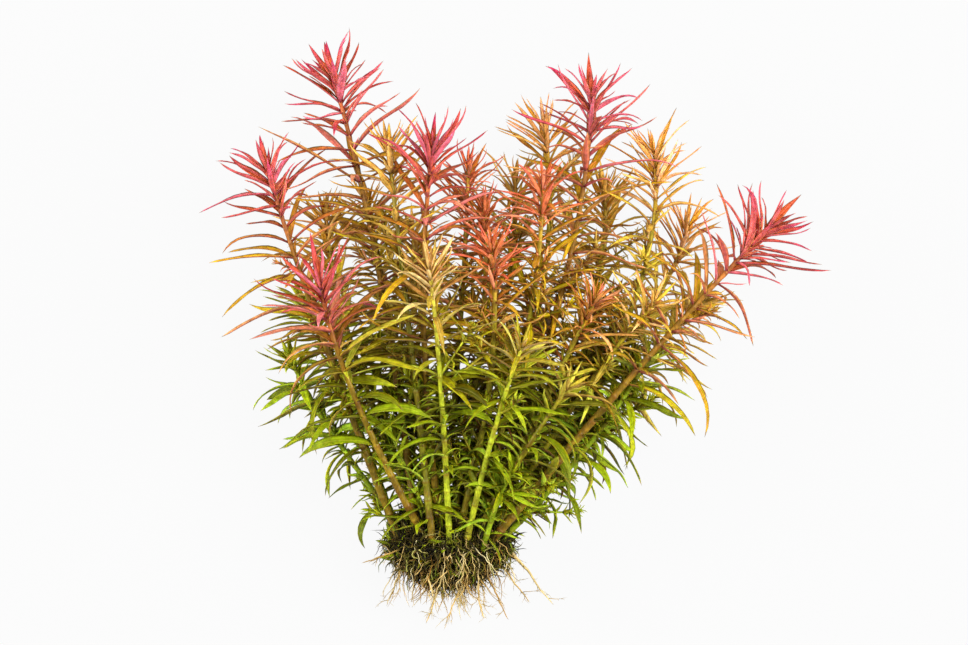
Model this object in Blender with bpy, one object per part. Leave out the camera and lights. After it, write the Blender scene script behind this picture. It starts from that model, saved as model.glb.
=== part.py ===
"""A bunch of rotala, an aquarium stem plant, lying on its back with its roots towards -Y.

Thirty leafy shoots fan out of one root ball. The shoots grow towards +Y, the side that is
seen first faces +Z, and the bunch rests on the plane z = 0. Each shoot is one solid: a
four-sided stem that turns an eighth between whorls, with a whorl of up to four leaves
drawn out of the sides of the stem at its nodes. Sizes are in millimetres until a mesh is
written.
"""

import math
import random

import bmesh
import bpy
from mathutils import Matrix, Vector
from mathutils.bvhtree import BVHTree

MM = 0.001

# Driving sizes of the bunch.
INTERNODE = 5.1
FIRST_GAP = 1.2
FIRST_WHORL = 0.7
GAP_GROWTH = 0.45
LEAF_LENGTH = 25.0
LEAF_WIDTH = 2.7
LEAF_THICKNESS = 0.6
NARROWEST = 0.6
BUD_WIDTH = 1.1
FULL_WIDTH_SHARE = 0.4
THINNING_POWER = 1.4
BALL_CENTRE = Vector((-18.5, -67.0, 16.8))
BALL_RADII = Vector((18.8, 10.5, 17.8))
BALL_SQUARENESS = 2.5
BALL_TAPER = 0.45
LUMP_HEIGHT = 1.1
SLOT_WIDTH = 5.0
SLOT_HEIGHT = 4.4
FIRST_SLOT_Z = 5.4
SOCKET_DEPTH = 4.0
SOCKET_CUT = 13.0
GAP = 0.3

# How a leaf changes along its shoot, as (distance in millimetres, reading): its share of the
# full length by its distance below the tip and above the foot, then its lift off the stem
# and its curl in degrees.
YOUNG_LENGTHS = ((0, 0.34), (5, 0.74), (14, 0.92), (30, 1.0), (80, 0.92))
OLD_LENGTHS = ((8, 0.5), (50, 1.0))
LIFTS = ((0, 12), (4, 31), (10, 48), (25, 58), (60, 66), (120, 70))
CURLS = ((0, 6), (4, 24), (10, 40), (40, 54), (120, 66))

# Shape of the solids.
LEAVES_PER_WHORL = 4
WHORLS_APART = 3
BUSHY_TONES = ("pink",)
NODE_BAND = 0.9
LONGEST_BARE_RUN = 24.0
LEAF_STEPS = 8
FLOOR_CLEARANCE = LEAF_THICKNESS / 2 + 0.05
# Ways to place a leaf, tried in turn: degrees to turn it and to lift it, share of its length.
LEAF_NUDGES = (
    (0, 0, 1.0),
    (10, 0, 1.0),
    (-10, 0, 1.0),
    (0, 12, 1.0),
    (0, -12, 1.0),
    (16, 8, 0.85),
    (-16, 8, 0.85),
    (0, -8, 0.7),
    (14, -14, 0.6),
    (-14, -14, 0.6),
)
CLEARANCE = 0.2
STEM_CLEARANCE = 0.45
LEAF_FOOT = 0.12
FLOOR_TURN = 0.3
BALL_SWELL = 1.08
AXIS_SAMPLES = 60
RING_CORNERS = ((-1, -1), (1, -1), (1, 1), (-1, 1))
# A leaf's faces over its corners: low left, low right, high left and high right at the node,
# then left, right and keel of the middle section, then the tip.
LEAF_FACES = (
    (2, 3, 5),
    (2, 5, 4),
    (1, 5, 3),
    (0, 2, 4),
    (1, 0, 6),
    (1, 6, 5),
    (0, 4, 6),
    (4, 5, 7),
    (5, 6, 7),
    (6, 4, 7),
)

# Colour of each tone, its roughness and its metallic value.
TONES = {
    "pink": (0.62, 0.10, 0.12),
    "coral": (0.66, 0.20, 0.10),
    "orange": (0.62, 0.30, 0.07),
    "straw": (0.55, 0.45, 0.10),
    "olive": (0.34, 0.33, 0.05),
    "green": (0.22, 0.38, 0.05),
    "root": (0.16, 0.11, 0.05),
}
LEAF_ROUGHNESS = 0.45
ROOT_ROUGHNESS = 0.9

# One row for each shoot: tone, growing tip, point halfway up the stem, slot in the root
# ball as (row, column), width of the stem, and the part of its length that has leaves.
SHOOTS = (
    ("pink", (-53.4, 76.2, 38), (-39.3, 15.2, 33), (4, -2), 2.3, 0.72),
    ("pink", (-72.9, 48.2, 44), (-56.7, -1.4, 38), (4, -3), 2.3, 0.76),
    ("pink", (-56.7, 13.7, 58), (-46.2, -20.9, 48), (5, -2), 2.3, 0.66),
    ("pink", (-23.4, 54.2, 52), (-26.1, 0.0, 43), (5, -1), 2.1, 0.74),
    ("pink", (24.3, 70.7, 34), (14.7, 9.2, 29), (3, 1), 2.2, 0.72),
    ("pink", (77.4, 30.8, 40), (39.0, -10.4, 40), (5, 2), 2.7, 0.72),
    ("coral", (9.3, 45.2, 46), (3.9, -4.4, 37), (4, 1), 2.1, 0.74),
    ("coral", (-6.3, 26.3, 55), (-6.0, -11.9, 44), (5, 0), 2.1, 0.76),
    ("coral", (-12.9, 49.7, 25), (-15.6, -2.9, 23), (3, -1), 2.0, 0.7),
    ("coral", (25.8, 10.1, 45), (12.6, -16.4, 37), (4, 2), 2.1, 0.74),
    ("coral", (-8.1, 37.7, 34), (-9.3, -5.9, 30), (4, 0), 2.0, 0.7),
    ("orange", (43.2, 54.2, 30), (33.3, -1.4, 24), (2, 2), 2.2, 0.76),
    ("orange", (10.2, 61.7, 24), (7.8, 3.2, 21), (3, 0), 2.1, 0.7),
    ("orange", (43.2, 8.3, 44), (22.2, -17.9, 32), (3, 2), 2.1, 0.76),
    ("orange", (17.4, -16.4, 48), (4.8, -35.3, 41), (5, 1), 2.0, 0.76),
    ("orange", (53.7, 31.7, 12), (38.7, 0.0, 10.5), (1, 2), 2.1, 0.7),
    ("straw", (3.3, -4.4, 60), (-5.1, -29.9, 49), (6, 1), 1.9, 0.7),
    ("straw", (-24.3, 18.2, 59), (-21.0, -16.4, 50), (6, 0), 1.9, 0.7),
    ("olive", (-36.9, 54.8, 40), (-30.3, -1.4, 42), (6, -1), 2.2, 0.66),
    ("olive", (-55.8, 34.7, 26), (-47.7, -5.9, 23), (3, -2), 2.1, 0.72),
    ("olive", (-43.5, 39.2, 13), (-35.7, -5.9, 11), (2, -2), 2.1, 0.72),
    ("olive", (-29.7, 29.6, 12), (-25.8, -8.9, 11), (2, -1), 2.1, 0.74),
    ("olive", (1.5, 45.8, 12), (-3.6, -4.4, 10.5), (2, 0), 2.1, 0.72),
    ("olive", (28.5, 42.2, 14), (20.1, -2.9, 11), (2, 1), 2.1, 0.74),
    ("olive", (56.7, 9.2, 22), (33.6, -19.4, 19), (2, 3), 2.2, 0.76),
    ("green", (-66.3, -8.9, 30), (-52.8, -32.9, 24), (3, -3), 1.9, 0.93),
    ("green", (41.7, -8.3, 34), (21.6, -36.8, 30), (4, 3), 1.9, 0.93),
    ("green", (-63.3, 9.2, 13), (-49.8, -20.9, 12), (2, -3), 1.9, 0.8),
    ("green", (0.6, -42.5, 45), (-3.6, -50.2, 39.5), (6, 2), 1.7, 0.8),
    ("green", (26.0, -7.0, 12), (11.0, -31.0, 11), (1, 1), 1.9, 0.78),
)

# Thick roots of the ball: where each leaves the ball, and its tip.
ROOTS = (
    ((-33.0, -72.0, 12), (-37.8, -84.2, 10)),
    ((-33.9, -66.8, 22), (-33.6, -79.7, 24)),
    ((-28.5, -72.2, 8), (-30.3, -83.3, 5)),
    ((-21.3, -77.0, 18), (-25.8, -89.3, 15)),
    ((-25.2, -74.3, 27), (-23.1, -82.4, 30)),
    ((-14.7, -76.0, 22), (-19.8, -89.0, 25)),
    ((-17.0, -77.0, 10), (-14.7, -84.4, 6)),
    ((-7.5, -73.0, 20), (-0.6, -88.0, 17)),
    ((-3.6, -70.2, 11), (6.0, -83.3, 8)),
    ((0.0, -67.0, 20), (13.2, -83.6, 18)),
    ((-9.9, -76.0, 27), (-8.4, -86.9, 30)),
    ((-33.0, -66.0, 28), (-45.0, -70.1, 30)),
)
ROOT_STEPS = 2
ROOT_WIDTH = 1.2
ROOT_TIP_WIDTH = 0.45
ROOT_BEND = 6.0
ROOT_ELBOW = 1.8


def clear_scene():
    for obj in list(bpy.data.objects):
        bpy.data.objects.remove(obj)


def tone_material(tone, roughness):
    found = bpy.data.materials.get(tone)
    if found:
        return found
    material = bpy.data.materials.new(tone)
    material.use_nodes = True
    shader = material.node_tree.nodes["Principled BSDF"]
    shader.inputs["Base Color"].default_value = (*TONES[tone], 1)
    shader.inputs["Roughness"].default_value = roughness
    shader.inputs["Metallic"].default_value = 0
    return material


def add_object(name, bm, material):
    """Writes a mesh that is built in millimetres as an object in metres."""
    bmesh.ops.scale(bm, vec=Vector((MM, MM, MM)), verts=bm.verts)
    mesh = bpy.data.meshes.new(name)
    bm.to_mesh(mesh)
    bm.free()
    mesh.materials.append(material)
    obj = bpy.data.objects.new(name, mesh)
    bpy.context.collection.objects.link(obj)
    return obj


# Root ball.
def ball_top(x, z):
    """Height along +Y of the ball's leafy end above the slot at x, z."""
    across = abs((x - BALL_CENTRE.x) / BALL_RADII.x) ** BALL_SQUARENESS
    deep = abs((z - BALL_CENTRE.z) / BALL_RADII.z) ** BALL_SQUARENESS
    left = max(0.0, 1 - across - deep) ** (1 / BALL_SQUARENESS)
    return BALL_CENTRE.y + BALL_RADII.y * left


def slot_point(slot):
    """Foot of a stem: a place in the rows of slots, sunk into the ball."""
    row, column = slot
    x = BALL_CENTRE.x + SLOT_WIDTH * (column + 0.5 * (row % 2))
    z = FIRST_SLOT_Z + SLOT_HEIGHT * row
    return Vector((x, ball_top(x, z) - SOCKET_DEPTH, z))


def ball_point(direction, rng):
    """The ball's surface in a direction: a rounded block, narrower at its foot, with lumps."""
    power = BALL_SQUARENESS
    radius = sum(abs(part) ** power for part in direction) ** (-1 / power)
    point = Vector(part * radius * size for part, size in zip(direction, BALL_RADII))
    lump = 1 + rng.uniform(-1, 1) * LUMP_HEIGHT / BALL_RADII.length
    narrow = 1 - BALL_TAPER * max(0.0, -point.y / BALL_RADII.y)
    point = Vector((point.x * narrow * lump, point.y * lump, point.z * narrow * lump))
    point += BALL_CENTRE
    point.z = max(point.z, 0.0)
    return point


def pull_face(bm, face, centre, width):
    """Extrudes one face to a copy of itself of a given width about a new centre."""
    pulled = bmesh.ops.extrude_discrete_faces(bm, faces=[face])["faces"][0]
    middle = pulled.calc_center_median()
    reach = sum((v.co - middle).length for v in pulled.verts) / len(pulled.verts)
    for vert in pulled.verts:
        vert.co = centre + (vert.co - middle) * (width / 2 / reach)
    return pulled


def grow_root(bm, place, tip, rng):
    """Draws a thin root out of the ball face nearest to the place where it leaves the ball."""
    whole_faces = [face for face in bm.faces if face.calc_area() > ROOT_WIDTH**2]
    face = min(whole_faces, key=lambda f: (f.calc_center_median() - place).length)
    start = face.calc_center_median()
    elbow = start + face.normal * ROOT_ELBOW
    face = pull_face(bm, face, start + face.normal * GAP, 2 * ROOT_WIDTH)
    for step in range(ROOT_STEPS + 1):
        part = step / ROOT_STEPS
        bend = Vector((rng.uniform(-1, 1), 0, rng.uniform(-1, 1))) * ROOT_BEND * (part - part**2)
        width = ROOT_WIDTH + (ROOT_TIP_WIDTH - ROOT_WIDTH) * part
        face = pull_face(bm, face, elbow.lerp(tip, part) + bend, width)


def build_root_ball(feet):
    """The matted ball with its thick roots, and a socket for the foot of each stem."""
    rng = random.Random(5)
    bm = bmesh.new()
    bmesh.ops.create_icosphere(bm, subdivisions=3, radius=1)
    for vert in bm.verts:
        vert.co = ball_point(vert.co.normalized(), rng)
    bm.normal_update()
    for place, tip in ROOTS:
        grow_root(bm, Vector(place), Vector(tip), rng)
        bm.normal_update()
    ball = add_object("root_ball", bm, tone_material("root", ROOT_ROUGHNESS))
    cut = ball.modifiers.new("stem sockets", "BOOLEAN")
    cut.operation = "DIFFERENCE"
    cut.object = build_socket_cutter(feet)
    return ball


def build_socket_cutter(feet):
    """One prism for each stem foot, wider than the stem by the gap on every side."""
    bm = bmesh.new()
    for frame, width in feet:
        size = width + 2 * GAP
        prism = bmesh.ops.create_cube(bm, size=1)["verts"]
        lift = Matrix.Translation((0, 0, SOCKET_CUT / 2 - GAP))
        scale = Matrix.Diagonal((size, size, SOCKET_CUT, 1))
        bmesh.ops.transform(bm, matrix=frame @ lift @ scale, verts=prism)
    cutter = add_object("socket_cutter", bm, tone_material("root", ROOT_ROUGHNESS))
    cutter.hide_render = True
    cutter.display_type = "WIRE"
    return cutter


# Stems and leaves.
class Axis:
    """The curved centre line of one shoot, with a frame that follows it without twisting."""

    def __init__(self, row):
        _, tip, middle, slot, self.width, self.leafy = row
        foot = slot_point(slot)
        tip, middle = Vector(tip), Vector(middle)
        control = 2 * middle - (foot + tip) / 2
        self.points = []
        for i in range(AXIS_SAMPLES + 1):
            t = i / AXIS_SAMPLES
            self.points.append((1 - t) ** 2 * foot + 2 * t * (1 - t) * control + t * t * tip)
        self.reach = [0.0]
        for before, after in zip(self.points, self.points[1:]):
            self.reach.append(self.reach[-1] + (after - before).length)
        self.length = self.reach[-1]
        self.sides = self.carried_sides()

    def heading(self, i):
        before = self.points[max(i - 1, 0)]
        after = self.points[min(i + 1, AXIS_SAMPLES)]
        return (after - before).normalized()

    def carried_sides(self):
        """A sideways direction at each sample, carried up the stem with the least turn."""
        side = Vector((1, 0, 0))
        sides = []
        for i in range(AXIS_SAMPLES + 1):
            heading = self.heading(i)
            side = (side - heading * side.dot(heading)).normalized()
            sides.append(side.copy())
        return sides

    def frame(self, distance, turn):
        """Axes at a distance from the foot: x to the side, y across, z up the stem."""
        distance = min(max(distance, 0.0), self.length)
        i = 0
        while i < AXIS_SAMPLES - 1 and self.reach[i + 1] < distance:
            i += 1
        part = (distance - self.reach[i]) / (self.reach[i + 1] - self.reach[i])
        place = self.points[i].lerp(self.points[i + 1], part)
        heading = self.heading(i).lerp(self.heading(i + 1), part).normalized()
        side = self.sides[i].lerp(self.sides[i + 1], part)
        side = (side - heading * side.dot(heading)).normalized()
        across = heading.cross(side)
        axes = Matrix((side, across, heading)).transposed().to_4x4()
        return Matrix.Translation(place) @ axes @ Matrix.Rotation(turn, 4, "Z")

    def width_at(self, distance):
        """Width of the stem: full over its lower part, then thinner up to the bud."""
        part = (distance / self.length - FULL_WIDTH_SHARE) / (1 - FULL_WIDTH_SHARE)
        thin = min(1.0, max(0.0, part)) ** THINNING_POWER
        return self.width + (BUD_WIDTH - self.width) * thin


def whorl_distances(axis):
    """Distances of the whorls below the growing tip: close at the bud, then an internode apart."""
    distances = []
    below_tip = FIRST_GAP * FIRST_WHORL
    gap = FIRST_GAP
    while below_tip < axis.length * axis.leafy:
        distances.append(below_tip)
        below_tip += gap
        gap = min(INTERNODE, gap + GAP_GROWTH)
    return distances


def whorl_turn(whorl):
    """Each whorl is turned an eighth from the one above it."""
    return math.radians(45 * (whorl % 2))


def blend(value, stops):
    """Straight-line reading of a value between (place, reading) stops."""
    for (a, at_a), (b, at_b) in zip(stops, stops[1:]):
        if value <= b:
            return at_a + (at_b - at_a) * max(0.0, value - a) / (b - a)
    return stops[-1][1]


def leaf_settings(shoot_number, whorl, below_tip, above_foot):
    """Length, turn, lift, curl and roll of each leaf of a whorl. Young leaves are short and upright."""
    rng = random.Random(1000 * shoot_number + whorl)
    length = LEAF_LENGTH * blend(below_tip, YOUNG_LENGTHS) * blend(above_foot, OLD_LENGTHS)
    lift = blend(below_tip, LIFTS)
    curl = blend(below_tip, CURLS)
    leaves = []
    for k in range(LEAVES_PER_WHORL):
        turn = whorl_turn(whorl) + math.radians(90 * k + rng.uniform(-9, 9))
        size = length * rng.uniform(0.85, 1.12)
        raised = math.radians(lift + rng.uniform(-8, 8))
        curled = math.radians(curl * rng.uniform(0.5, 1.5))
        roll = math.radians(rng.uniform(-28, 28))
        leaves.append((size, turn, raised, curled, roll))
    return leaves


def leaf_path(start, along, out, length, lift, curl):
    """Centre line of a leaf. It leaves the stem at its lift, curls away and lies along the floor."""
    points = [start.copy()]
    step = length / LEAF_STEPS
    for i in range(LEAF_STEPS):
        angle = lift + curl * (i + 0.5) / LEAF_STEPS
        heading = along * math.cos(angle) + out * math.sin(angle)
        point = points[-1] + heading * step
        if point.z < FLOOR_CLEARANCE:
            drop = min(0.0, FLOOR_CLEARANCE - points[-1].z)
            run = math.sqrt(max(step**2 - drop**2, 0.0))
            level = Vector((heading.x + along.x * FLOOR_TURN, heading.y + along.y * FLOOR_TURN, 0))
            point = points[-1] + level.normalized() * run
            point.z = FLOOR_CLEARANCE
        points.append(point)
    return points


class Leaf:
    """A leaf of the solid: four corners at its node, a middle section with a keel, and a point."""

    def __init__(self, axis, distance, side_turn, settings, nudge):
        length, turn, lift, curl, _ = settings
        more_turn, more_lift, share = nudge
        frame = axis.frame(distance, turn + math.radians(more_turn))
        self.along, out = frame.col[2].to_3d(), frame.col[0].to_3d()
        start = frame.translation + out * axis.width_at(distance) / 2
        path = leaf_path(start, self.along, out, length * share, lift + math.radians(more_lift), curl)
        middle, self.tip = path[LEAF_STEPS // 2], path[-1]
        heading = (self.tip - start).normalized()
        side = self.along.cross(out)
        up = heading.cross(side).normalized() * LEAF_THICKNESS / 2
        side *= LEAF_WIDTH / 2 * min(1.0, NARROWEST + (1 - NARROWEST) * length / LEAF_LENGTH)
        lowest = middle.z - abs(side.z) - abs(up.z)
        middle.z += max(0.0, FLOOR_CLEARANCE - lowest)
        self.left, self.right, self.keel = middle - side + up, middle + side + up, middle - up
        self.foot = foot_corners(axis, distance, side_turn)

    def tree(self):
        """The leaf swollen by the clearance, as a tree for tests of overlap, and its bounds."""
        side = (self.right - self.left).normalized() * CLEARANCE
        up = ((self.left + self.right) / 2 - self.keel).normalized() * CLEARANCE
        left = self.left + up - side
        right = self.right + up + side
        keel = self.keel - up * 2
        tip = self.tip + (self.tip - self.keel).normalized() * CLEARANCE
        return tree_of([*self.foot, left, right, keel, tip], LEAF_FACES)


def foot_corners(axis, distance, turn):
    """Corners of the side of a node that a leaf grows from, low ones first, just off the stem."""
    half = axis.width_at(distance) / 2
    corners = []
    for height in (-NODE_BAND / 2, NODE_BAND / 2):
        frame = axis.frame(distance + height, turn)
        for across in (-half, half):
            corners.append(frame @ Vector((half + LEAF_FOOT, across, 0)))
    return corners


# Room among the leaves.
def tree_of(points, faces):
    low = Vector(min(p[k] for p in points) for k in range(3))
    high = Vector(max(p[k] for p in points) for k in range(3))
    return BVHTree.FromPolygons(points, faces), low, high


def meet(a, b):
    if any(a[1][k] > b[2][k] or b[1][k] > a[2][k] for k in range(3)):
        return False
    return bool(a[0].overlap(b[0]))


def stem_tree(axis, rings, swell):
    """The stem's own rings, swollen on every side, as a tree for tests of overlap."""
    points = []
    for distance, turn in rings:
        frame = axis.frame(distance, turn)
        half = axis.width_at(distance) / 2 + swell
        points += [frame @ Vector((a * half, b * half, 0)) for a, b in RING_CORNERS]
    faces = []
    for ring in range(0, len(points) - 4, 4):
        for k in range(4):
            j = (k + 1) % 4
            faces.append((ring + k, ring + j, ring + 4 + j, ring + 4 + k))
    points.append(axis.points[-1] + axis.heading(AXIS_SAMPLES) * swell)
    last = len(points) - 1
    faces += [(last - 4 + k, last - 4 + (k + 1) % 4, last) for k in range(4)]
    return tree_of(points, faces)


def ball_tree():
    """The ball, larger by its lumps, as a tree for tests of overlap."""
    bm = bmesh.new()
    bmesh.ops.create_icosphere(bm, subdivisions=3, radius=1)
    bm.verts.ensure_lookup_table()
    smooth = random.Random(0)
    points = [ball_point(vert.co.normalized(), smooth) for vert in bm.verts]
    points = [BALL_CENTRE + (point - BALL_CENTRE) * BALL_SWELL for point in points]
    tree = tree_of(points, [[vert.index for vert in face.verts] for face in bm.faces])
    bm.free()
    return tree


def place_leaves(shoots):
    """Gives every shoot the leaves that have room among the stems, the ball and other leaves."""
    placed = [ball_tree()]
    wanted = 0
    for shoot in shoots:
        others = [other.swollen for other in shoots if other is not shoot] + [shoot.skin]
        for distance, whorl in shoot.whorls:
            below_tip = shoot.axis.length - distance
            for k, settings in enumerate(leaf_settings(shoot.number, whorl, below_tip, distance)):
                side_turn = whorl_turn(whorl) + math.pi / 2 * k
                wanted += 1
                for nudge in LEAF_NUDGES:
                    leaf = Leaf(shoot.axis, distance, side_turn, settings, nudge)
                    tree = leaf.tree()
                    if not any(meet(tree, other) for other in others + placed):
                        shoot.leaves.append((whorl, k, leaf))
                        placed.append(tree)
                        break
    print(f"{sum(len(shoot.leaves) for shoot in shoots)} leaves of {wanted} have room")


# Shoots.
class Shoot:
    """A stem and its leaves: where the rings, the whorls and the leaves of its solid are."""

    def __init__(self, number, row):
        self.number = number
        self.tone = row[0]
        self.axis = Axis(row)
        below_tip = whorl_distances(self.axis)
        second = 2 if self.tone in BUSHY_TONES else 1 + WHORLS_APART
        kept = [1, *range(second, len(below_tip), WHORLS_APART)]
        self.whorls = [(self.axis.length - below_tip[whorl], whorl) for whorl in kept]
        self.rings = self.solid_rings()
        self.skin = stem_tree(self.axis, self.rings, 0)
        self.swollen = stem_tree(self.axis, self.rings, STEM_CLEARANCE)
        self.leaves = []

    def solid_rings(self):
        """Rings from the foot up, as (distance, turn): two at each whorl, more on a long bare run."""
        turn = whorl_turn(self.whorls[-1][1])
        rings = [(0.0, turn)]
        for distance, whorl in reversed(self.whorls):
            low, high = distance - NODE_BAND / 2, distance + NODE_BAND / 2
            start = rings[-1][0]
            runs = math.ceil((low - start) / LONGEST_BARE_RUN)
            rings += [(start + (low - start) * i / runs, turn) for i in range(1, runs)]
            turn = whorl_turn(whorl)
            rings += [(low, turn), (high, turn)]
        return rings

    def foot_frame(self):
        return self.axis.frame(*self.rings[0])

    def build(self, name, material):
        """Writes the shoot as one closed solid: rings from the foot, a bud, then the leaves."""
        bm = bmesh.new()
        end = bm.faces.new([bm.verts.new((0, 0, 0)) for _ in RING_CORNERS])
        self.move_ring(end, *self.rings[0])
        sides = {}
        for distance, turn in self.rings[1:]:
            end = bmesh.ops.extrude_discrete_faces(bm, faces=[end])["faces"][0]
            self.move_ring(end, distance, turn)
            sides[distance] = [side_face(end, edge) for edge in end.edges]
        bud = bmesh.ops.poke(bm, faces=[end])["verts"][0]
        bud.co = self.axis.points[-1]
        bmesh.ops.holes_fill(bm, edges=[edge for edge in bm.edges if edge.is_boundary])
        bmesh.ops.recalc_face_normals(bm, faces=bm.faces)
        node_tops = {whorl: distance + NODE_BAND / 2 for distance, whorl in self.whorls}
        for whorl, k, leaf in self.leaves:
            frame = self.axis.frame(node_tops[whorl], whorl_turn(whorl) + math.pi / 2 * k)
            out = frame.col[0].to_3d()
            side = max(sides[node_tops[whorl]], key=lambda face: face.normal.dot(out))
            sides[node_tops[whorl]].remove(side)
            pull_leaf(bm, side, leaf)
        bmesh.ops.recalc_face_normals(bm, faces=bm.faces)
        return add_object(name, bm, material)

    def move_ring(self, face, distance, turn):
        """Puts a four-sided face square across the stem."""
        frame = self.axis.frame(distance, turn)
        half = self.axis.width_at(distance) / 2
        for vert, (a, b) in zip(face.verts, RING_CORNERS):
            vert.co = frame @ Vector((a * half, b * half, 0))


def side_face(end, edge):
    """The face beside an end face at one of its edges."""
    return next(face for face in edge.link_faces if face is not end)


def pull_leaf(bm, side, leaf):
    """Swaps one side of a node for a leaf."""
    left, right, keel = (bm.verts.new(corner) for corner in (leaf.left, leaf.right, leaf.keel))
    tip = bm.verts.new(leaf.tip)
    across = leaf.foot[1] - leaf.foot[0]
    by_height = sorted(side.verts, key=lambda vert: vert.co.dot(leaf.along))
    low = sorted(by_height[:2], key=lambda vert: vert.co.dot(across))
    high = sorted(by_height[2:], key=lambda vert: vert.co.dot(across))
    bm.faces.remove(side)
    corners = [*low, *high, left, right, keel, tip]
    for face in LEAF_FACES:
        bm.faces.new([corners[i] for i in face])


def main():
    clear_scene()
    shoots = [Shoot(number, row) for number, row in enumerate(SHOOTS)]
    place_leaves(shoots)
    counts = dict.fromkeys(TONES, 0)
    for shoot in shoots:
        counts[shoot.tone] += 1
        name = f"{shoot.tone}_shoot_{counts[shoot.tone]}"
        shoot.build(name, tone_material(shoot.tone, LEAF_ROUGHNESS))
    build_root_ball([(shoot.foot_frame(), shoot.axis.width) for shoot in shoots])


main()
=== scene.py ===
# %% [markdown]
# # A bunch of rotala
# This lesson dresses a bunch of rotala, an aquarium plant with thin stems and whorls of narrow
# leaves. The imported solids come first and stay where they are: they fix how long, wide and deep
# the bunch is. Everything after this grows finer leaves, roots and moss in their place.

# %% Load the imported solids
import math
import random

import bmesh
import bpy
from mathutils import Matrix, Vector, noise


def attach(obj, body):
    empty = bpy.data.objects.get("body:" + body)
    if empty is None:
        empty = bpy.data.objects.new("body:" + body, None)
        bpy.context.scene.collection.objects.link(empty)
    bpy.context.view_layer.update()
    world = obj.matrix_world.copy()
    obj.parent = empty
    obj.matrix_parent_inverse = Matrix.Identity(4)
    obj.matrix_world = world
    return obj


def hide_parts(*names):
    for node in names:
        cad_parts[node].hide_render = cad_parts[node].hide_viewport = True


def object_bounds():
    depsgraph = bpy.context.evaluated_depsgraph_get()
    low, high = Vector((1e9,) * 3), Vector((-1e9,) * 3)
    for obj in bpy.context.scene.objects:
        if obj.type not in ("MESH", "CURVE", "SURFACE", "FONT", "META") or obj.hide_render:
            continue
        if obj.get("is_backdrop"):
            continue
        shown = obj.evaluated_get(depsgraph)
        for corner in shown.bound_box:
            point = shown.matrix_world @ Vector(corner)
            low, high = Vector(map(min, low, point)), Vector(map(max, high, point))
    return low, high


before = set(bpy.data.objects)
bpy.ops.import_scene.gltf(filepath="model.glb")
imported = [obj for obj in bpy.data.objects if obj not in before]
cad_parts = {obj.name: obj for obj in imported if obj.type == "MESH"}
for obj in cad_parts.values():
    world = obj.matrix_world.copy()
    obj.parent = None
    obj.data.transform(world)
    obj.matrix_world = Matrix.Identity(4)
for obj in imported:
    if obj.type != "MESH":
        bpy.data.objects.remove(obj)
cad_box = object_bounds()
print("solids:", len(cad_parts), "box:", [tuple(corner) for corner in cad_box])

# %% [markdown]
# A plant like this follows a few growth rules, so it is driven by a few sizes in millimetres.
# They are the sizes that the solids were made with, which keeps each leaf near its solid. Only
# the stems thin sooner on their way up than the solids do, by up to 0.3 mm on each side.

# %% Sizes of the plant, in millimetres
MM = 0.001
INTERNODE = 5.1
FIRST_GAP = 1.2
FIRST_WHORL = 0.7
GAP_GROWTH = 0.45
LEAF_LENGTH = 25.0
LEAVES_PER_WHORL = 4
BUD_WIDTH = 1.1
FULL_WIDTH_SHARE = 0.1
THINNING_POWER = 1.0
BALL_CENTRE = Vector((-18.5, -67.0, 16.8))
BALL_RADII = Vector((18.8, 10.5, 17.8))
BALL_SQUARENESS = 2.5
BALL_TAPER = 0.45
SLOT_WIDTH = 5.0
SLOT_HEIGHT = 4.4
FIRST_SLOT_Z = 5.4
SOCKET_DEPTH = 4.0
AXIS_SAMPLES = 60

# Readings along a shoot, as (distance in millimetres, reading): the share of the full leaf
# length by distance below the tip and above the foot, then lift off the stem and curl in degrees.
YOUNG_LENGTHS = ((0, 0.34), (5, 0.74), (14, 0.92), (30, 1.0), (80, 0.92))
OLD_LENGTHS = ((8, 0.5), (50, 1.0))
LIFTS = ((0, 12), (4, 31), (10, 48), (25, 58), (60, 66), (120, 70))
CURLS = ((0, 6), (4, 24), (10, 40), (40, 54), (120, 66))

# %% [markdown]
# Each shoot is one row: its tone, where its tip is, where its middle is, which slot of the root
# ball it grows from, how wide its stem is, and how much of its length has leaves. A table is
# right here, because the shoots follow no rule: each one is where the real plant put it.

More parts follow.
